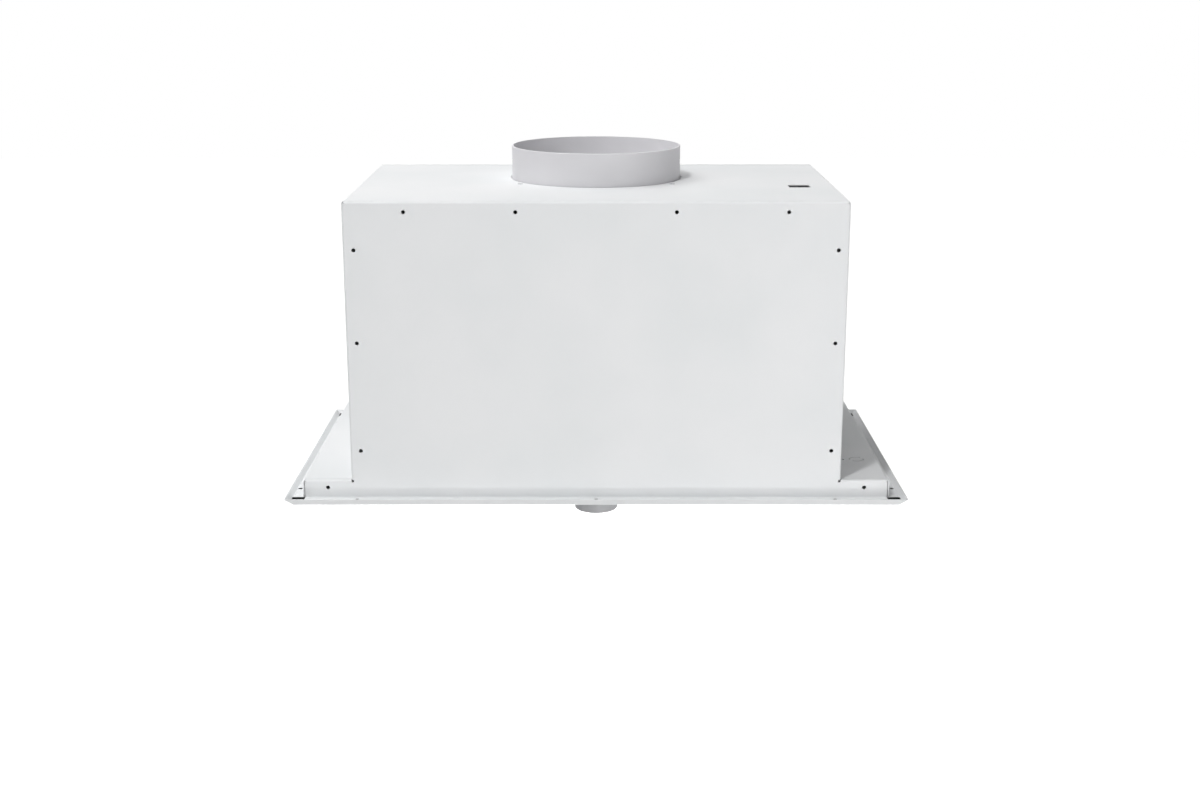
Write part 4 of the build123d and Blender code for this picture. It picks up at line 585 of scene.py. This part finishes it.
# Rotary switch behind the knob: its body, cover, rotor and spindle are black polyamide, moulded and
# snapped together. The plastic is fine and slightly waxy.
SWITCH_HEX, SWITCH_FLOW_HEX = "2A2A2C", "1F1F21"

switch_pa = moulding("moulded_black_polyamide", SWITCH_HEX, SWITCH_FLOW_HEX,
                     rough=0.44, grain_mm=0.8, depth_mm=0.015, flow_mm=8)
dress(switch_pa, "switch_plastic", "switch_body", "switch_cover", "switch_rotor", "switch_spindle")

# Nut on the switch's bush: brass, turned and nickel plated. It is a warm pale metal with fine turning rings,
# drawn a millimetre apart so that they show. A wave texture of scale 1 has a ring every pi / 10 metres.
NICKEL_DARK_HEX, NICKEL_LIGHT_HEX = "B4AA94", "D6CEBC"
NICKEL_BRIGHT_ROUGH, NICKEL_DULL_ROUGH = 0.22, 0.34
TURNING_MM, TURNING_WOBBLE = 1.0, 0.4
PLAIN_WAVE = math.pi / 10

nickel, tree, place = new_material("turned_nickel_plated_brass")
low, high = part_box("switch_nut")
centre = [-(low[0] + high[0]) / 2, -(low[1] + high[1]) / 2, 0]
from_axis = node(tree, "ShaderNodeMapping", {"Vector": place, "Location": centre})
waves = {"Vector": from_axis, "Scale": PLAIN_WAVE / (TURNING_MM * MM), "Distortion": TURNING_WOBBLE}
rings = node(tree, "ShaderNodeTexWave", waves, wave_type="RINGS", rings_direction="Z").outputs["Fac"]
ends = {"Factor": rings, 6: linear(NICKEL_DARK_HEX), 7: linear(NICKEL_LIGHT_HEX)}
ringed = node(tree, "ShaderNodeMix", ends, data_type="RGBA").outputs[2]
skin = {"Value": rings, "To Min": NICKEL_BRIGHT_ROUGH, "To Max": NICKEL_DULL_ROUGH}
finish(tree, Base_Color=ringed, Metallic=1.0, Roughness=node(tree, "ShaderNodeMapRange", skin))
dress(nickel, "nut_brass", "switch_nut")

# Press spring over the spindle and the leaf clips on the filters: spring steel, formed and then tempered.
# Tempering leaves a straw grey with cloudy, slightly brighter patches.
SPRING_DARK_HEX, SPRING_LIGHT_HEX = "8F8F91", "B5B4B2"
SPRING_ROUGH = 0.24, 0.38
TEMPER_MM = 5

tempered, tree, place = new_material("tempered_spring_steel")
finish(tree, Base_Color=mottle(tree, place, TEMPER_MM, SPRING_DARK_HEX, SPRING_LIGHT_HEX, FINE_DETAIL),
       Metallic=1.0, Roughness=mottle(tree, place, TEMPER_MM, *SPRING_ROUGH, FINE_DETAIL))
dress(tempered, "spring_steel", "press_spring", "filter_clips_left", "filter_clips_right")

# Control knob: moulded mid grey ABS, pushed on to the switch's spindle under the pan, where it is turned
# and pressed. It has a satin skin.
KNOB_HEX, KNOB_FLOW_HEX = "ABABAD", "A6A6A9"

knob_abs = moulding("moulded_knob_abs", KNOB_HEX, KNOB_FLOW_HEX,
                    rough=0.4, grain_mm=0.8, depth_mm=0.01, flow_mm=30)
dress(knob_abs, "knob_plastic", "control_knob")

# Lamps: a polycarbonate bezel snapped into the pan, a frosted polycarbonate lens in it, and a die-cast
# aluminium heat sink behind. The lens is milky and lets light through, and the casting's skin is bright.
BEZEL_HEX, BEZEL_FLOW_HEX = "E6E6E8", "E0E0E3"
LENS_HEX, LENS_FLOW_HEX = "F2F1EC", "EAE9E3"
CAST_DARK_HEX, CAST_LIGHT_HEX = "A5A6A9", "BFC0C3"
CAST_ROUGH = 0.42, 0.56
CAST_MM, CAST_DEPTH_MM = 0.9, 0.03

bezel_pc = moulding("moulded_bezel_polycarbonate", BEZEL_HEX, BEZEL_FLOW_HEX,
                    rough=0.3, grain_mm=1.5, depth_mm=0.008)
lens_pc = moulding("frosted_polycarbonate", LENS_HEX, LENS_FLOW_HEX,
                   rough=0.6, grain_mm=0.7, depth_mm=0.02, flow_mm=12, Transmission_Weight=0.35)
cast, tree, place = new_material("die_cast_aluminium")
finish(tree, Base_Color=mottle(tree, place, CAST_MM, CAST_DARK_HEX, CAST_LIGHT_HEX, FINE_DETAIL),
       Metallic=1.0, Roughness=mottle(tree, place, CAST_MM, *CAST_ROUGH),
       Normal=grained(tree, place, CAST_MM, CAST_DEPTH_MM, FINE_DETAIL))
for side in ("left", "right"):
    dress(bezel_pc, "bezel_plastic", "lamp_bezel_" + side)
    dress(lens_pc, "lens_plastic", "lamp_lens_" + side)
    dress(cast, "sink_aluminium", "lamp_sink_" + side)

# Grease filter frames and faces: rolled aluminium sheet, folded and punched. Rolling leaves straight, silky
# lines along the sheet, drawn at 0.8 mm so that they show.
SHEET_DARK_HEX, SHEET_LIGHT_HEX = "B9BBBE", "D3D5D7"
SHEET_ROUGH = 0.3, 0.42
ROLL_MM, ROLL_RUN, ROLL_DEPTH_MM = 0.8, 0.02, 0.008

rolled, tree, place = new_material("rolled_aluminium_sheet")
silk = node(tree, "ShaderNodeMapping", {"Vector": place, "Scale": (ROLL_RUN, 1, 1)})
finish(tree, Base_Color=mottle(tree, silk, ROLL_MM, SHEET_DARK_HEX, SHEET_LIGHT_HEX), Metallic=1.0,
       Roughness=mottle(tree, silk, ROLL_MM, *SHEET_ROUGH),
       Normal=grained(tree, silk, ROLL_MM, ROLL_DEPTH_MM))
for side in ("left", "right"):
    dress(rolled, "filter_aluminium", "filter_frame_" + side, "filter_grille_" + side)

# Filter medium: three crimped layers of expanded aluminium mesh, slit and stretched from foil and laid in
# the frame. Each strand is a flat ribbon, and stretching turns it a little so that it glints.
MESH_DARK_HEX, MESH_LIGHT_HEX = "9FA1A4", "CDCFD1"
MESH_ROUGH = 0.28, 0.44
GLINT_MM, FOIL_GLOSS_MM = 4, 3
CELL_LONG, CELL_SHORT, STRAND_W, STRAND_T = 10.0, 5.5, 1.1, 0.5
STRAND_TWIST = math.radians(24)
LAYERS, CRIMP_MM, CRIMP_DEPTH, CRIMP_PHASE = 3, 22.0, 0.6, 2.1

expanded, tree, place = new_material("expanded_aluminium_foil")
finish(tree, Base_Color=mottle(tree, place, GLINT_MM, MESH_DARK_HEX, MESH_LIGHT_HEX, FINE_DETAIL),
       Metallic=1.0, Roughness=mottle(tree, place, FOIL_GLOSS_MM, *MESH_ROUGH))

def strand_pair():
    """Two ribbons that leave a node of the mesh to the left and to the right, up to the next nodes."""
    shape = bmesh.new()
    for side in (-1, 1):
        run = Vector((side * CELL_LONG / 2, CELL_SHORT / 2, 0))
        along = run.normalized()
        wide = Vector((-along.y, along.x, 0)) * math.cos(STRAND_TWIST) + up * math.sin(STRAND_TWIST)
        thick = along.cross(wide) * STRAND_T / 2
        wide = wide * STRAND_W / 2
        corners = (-wide - thick, wide - thick, wide + thick, thick - wide)
        ends = [[shape.verts.new((start + corner) * MM) for corner in corners] for start in (run * 0, run)]
        for edge in range(4):
            after = (edge + 1) % 4
            shape.faces.new((ends[0][edge], ends[0][after], ends[1][after], ends[1][edge]))
        for end in ends:
            shape.faces.new(end)
    bmesh.ops.recalc_face_normals(shape, faces=shape.faces)
    mesh = bpy.data.meshes.new("strand_pair")
    shape.to_mesh(mesh)
    shape.free()
    return mesh

def layer_nodes(low, high, level):
    """Where the nodes of one flat layer of mesh lie in a filter."""
    across = int((high.x - low.x) / MM // CELL_LONG) - 1
    deep = int((high.y - low.y) / MM // (CELL_SHORT / 2)) - 1
    middle = (low + high) / 2 / MM
    spots = []
    for row in range(deep):
        more = row % 2
        for column in range(across + more):
            x = middle.x + (column - (across - 1 + more) / 2) * CELL_LONG
            spots.append(Vector((x, middle.y + (row - deep / 2) * CELL_SHORT / 2, level)) * MM)
    return spots

for side in ("left", "right"):
    low, high = (Vector(corner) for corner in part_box("filter_mesh_" + side))
    gap = (high.z - low.z) / LAYERS
    levels = [(low.z + (layer + 0.5) * gap) / MM for layer in range(LAYERS)]
    seeds = [(spot, up) for level in levels for spot in layer_nodes(low, high, level)]
    medium = set_out("filter_medium_" + side, seeds, strand_pair(), expanded)
    for vert in medium.vertices:
        phase = (vert.co.z - low.z) // gap * CRIMP_PHASE
        vert.co.z += CRIMP_DEPTH * MM * math.sin(2 * math.pi * vert.co.x / (CRIMP_MM * MM) + phase)
    add_piece("filter_medium_" + side, medium, "mesh_aluminium", "filter_" + side, "filter_mesh_" + side)

# Filter handles: moulded mid grey ABS, clipped through the punched face of each filter.
# They have the same satin skin as the knob.
HANDLE_HEX, HANDLE_FLOW_HEX = "A9AAAD", "A1A2A5"

handle_abs = moulding("moulded_handle_abs", HANDLE_HEX, HANDLE_FLOW_HEX,
                      rough=0.42, grain_mm=0.9, depth_mm=0.012)
dress(handle_abs, "handle_plastic", "filter_handle_left", "filter_handle_right")
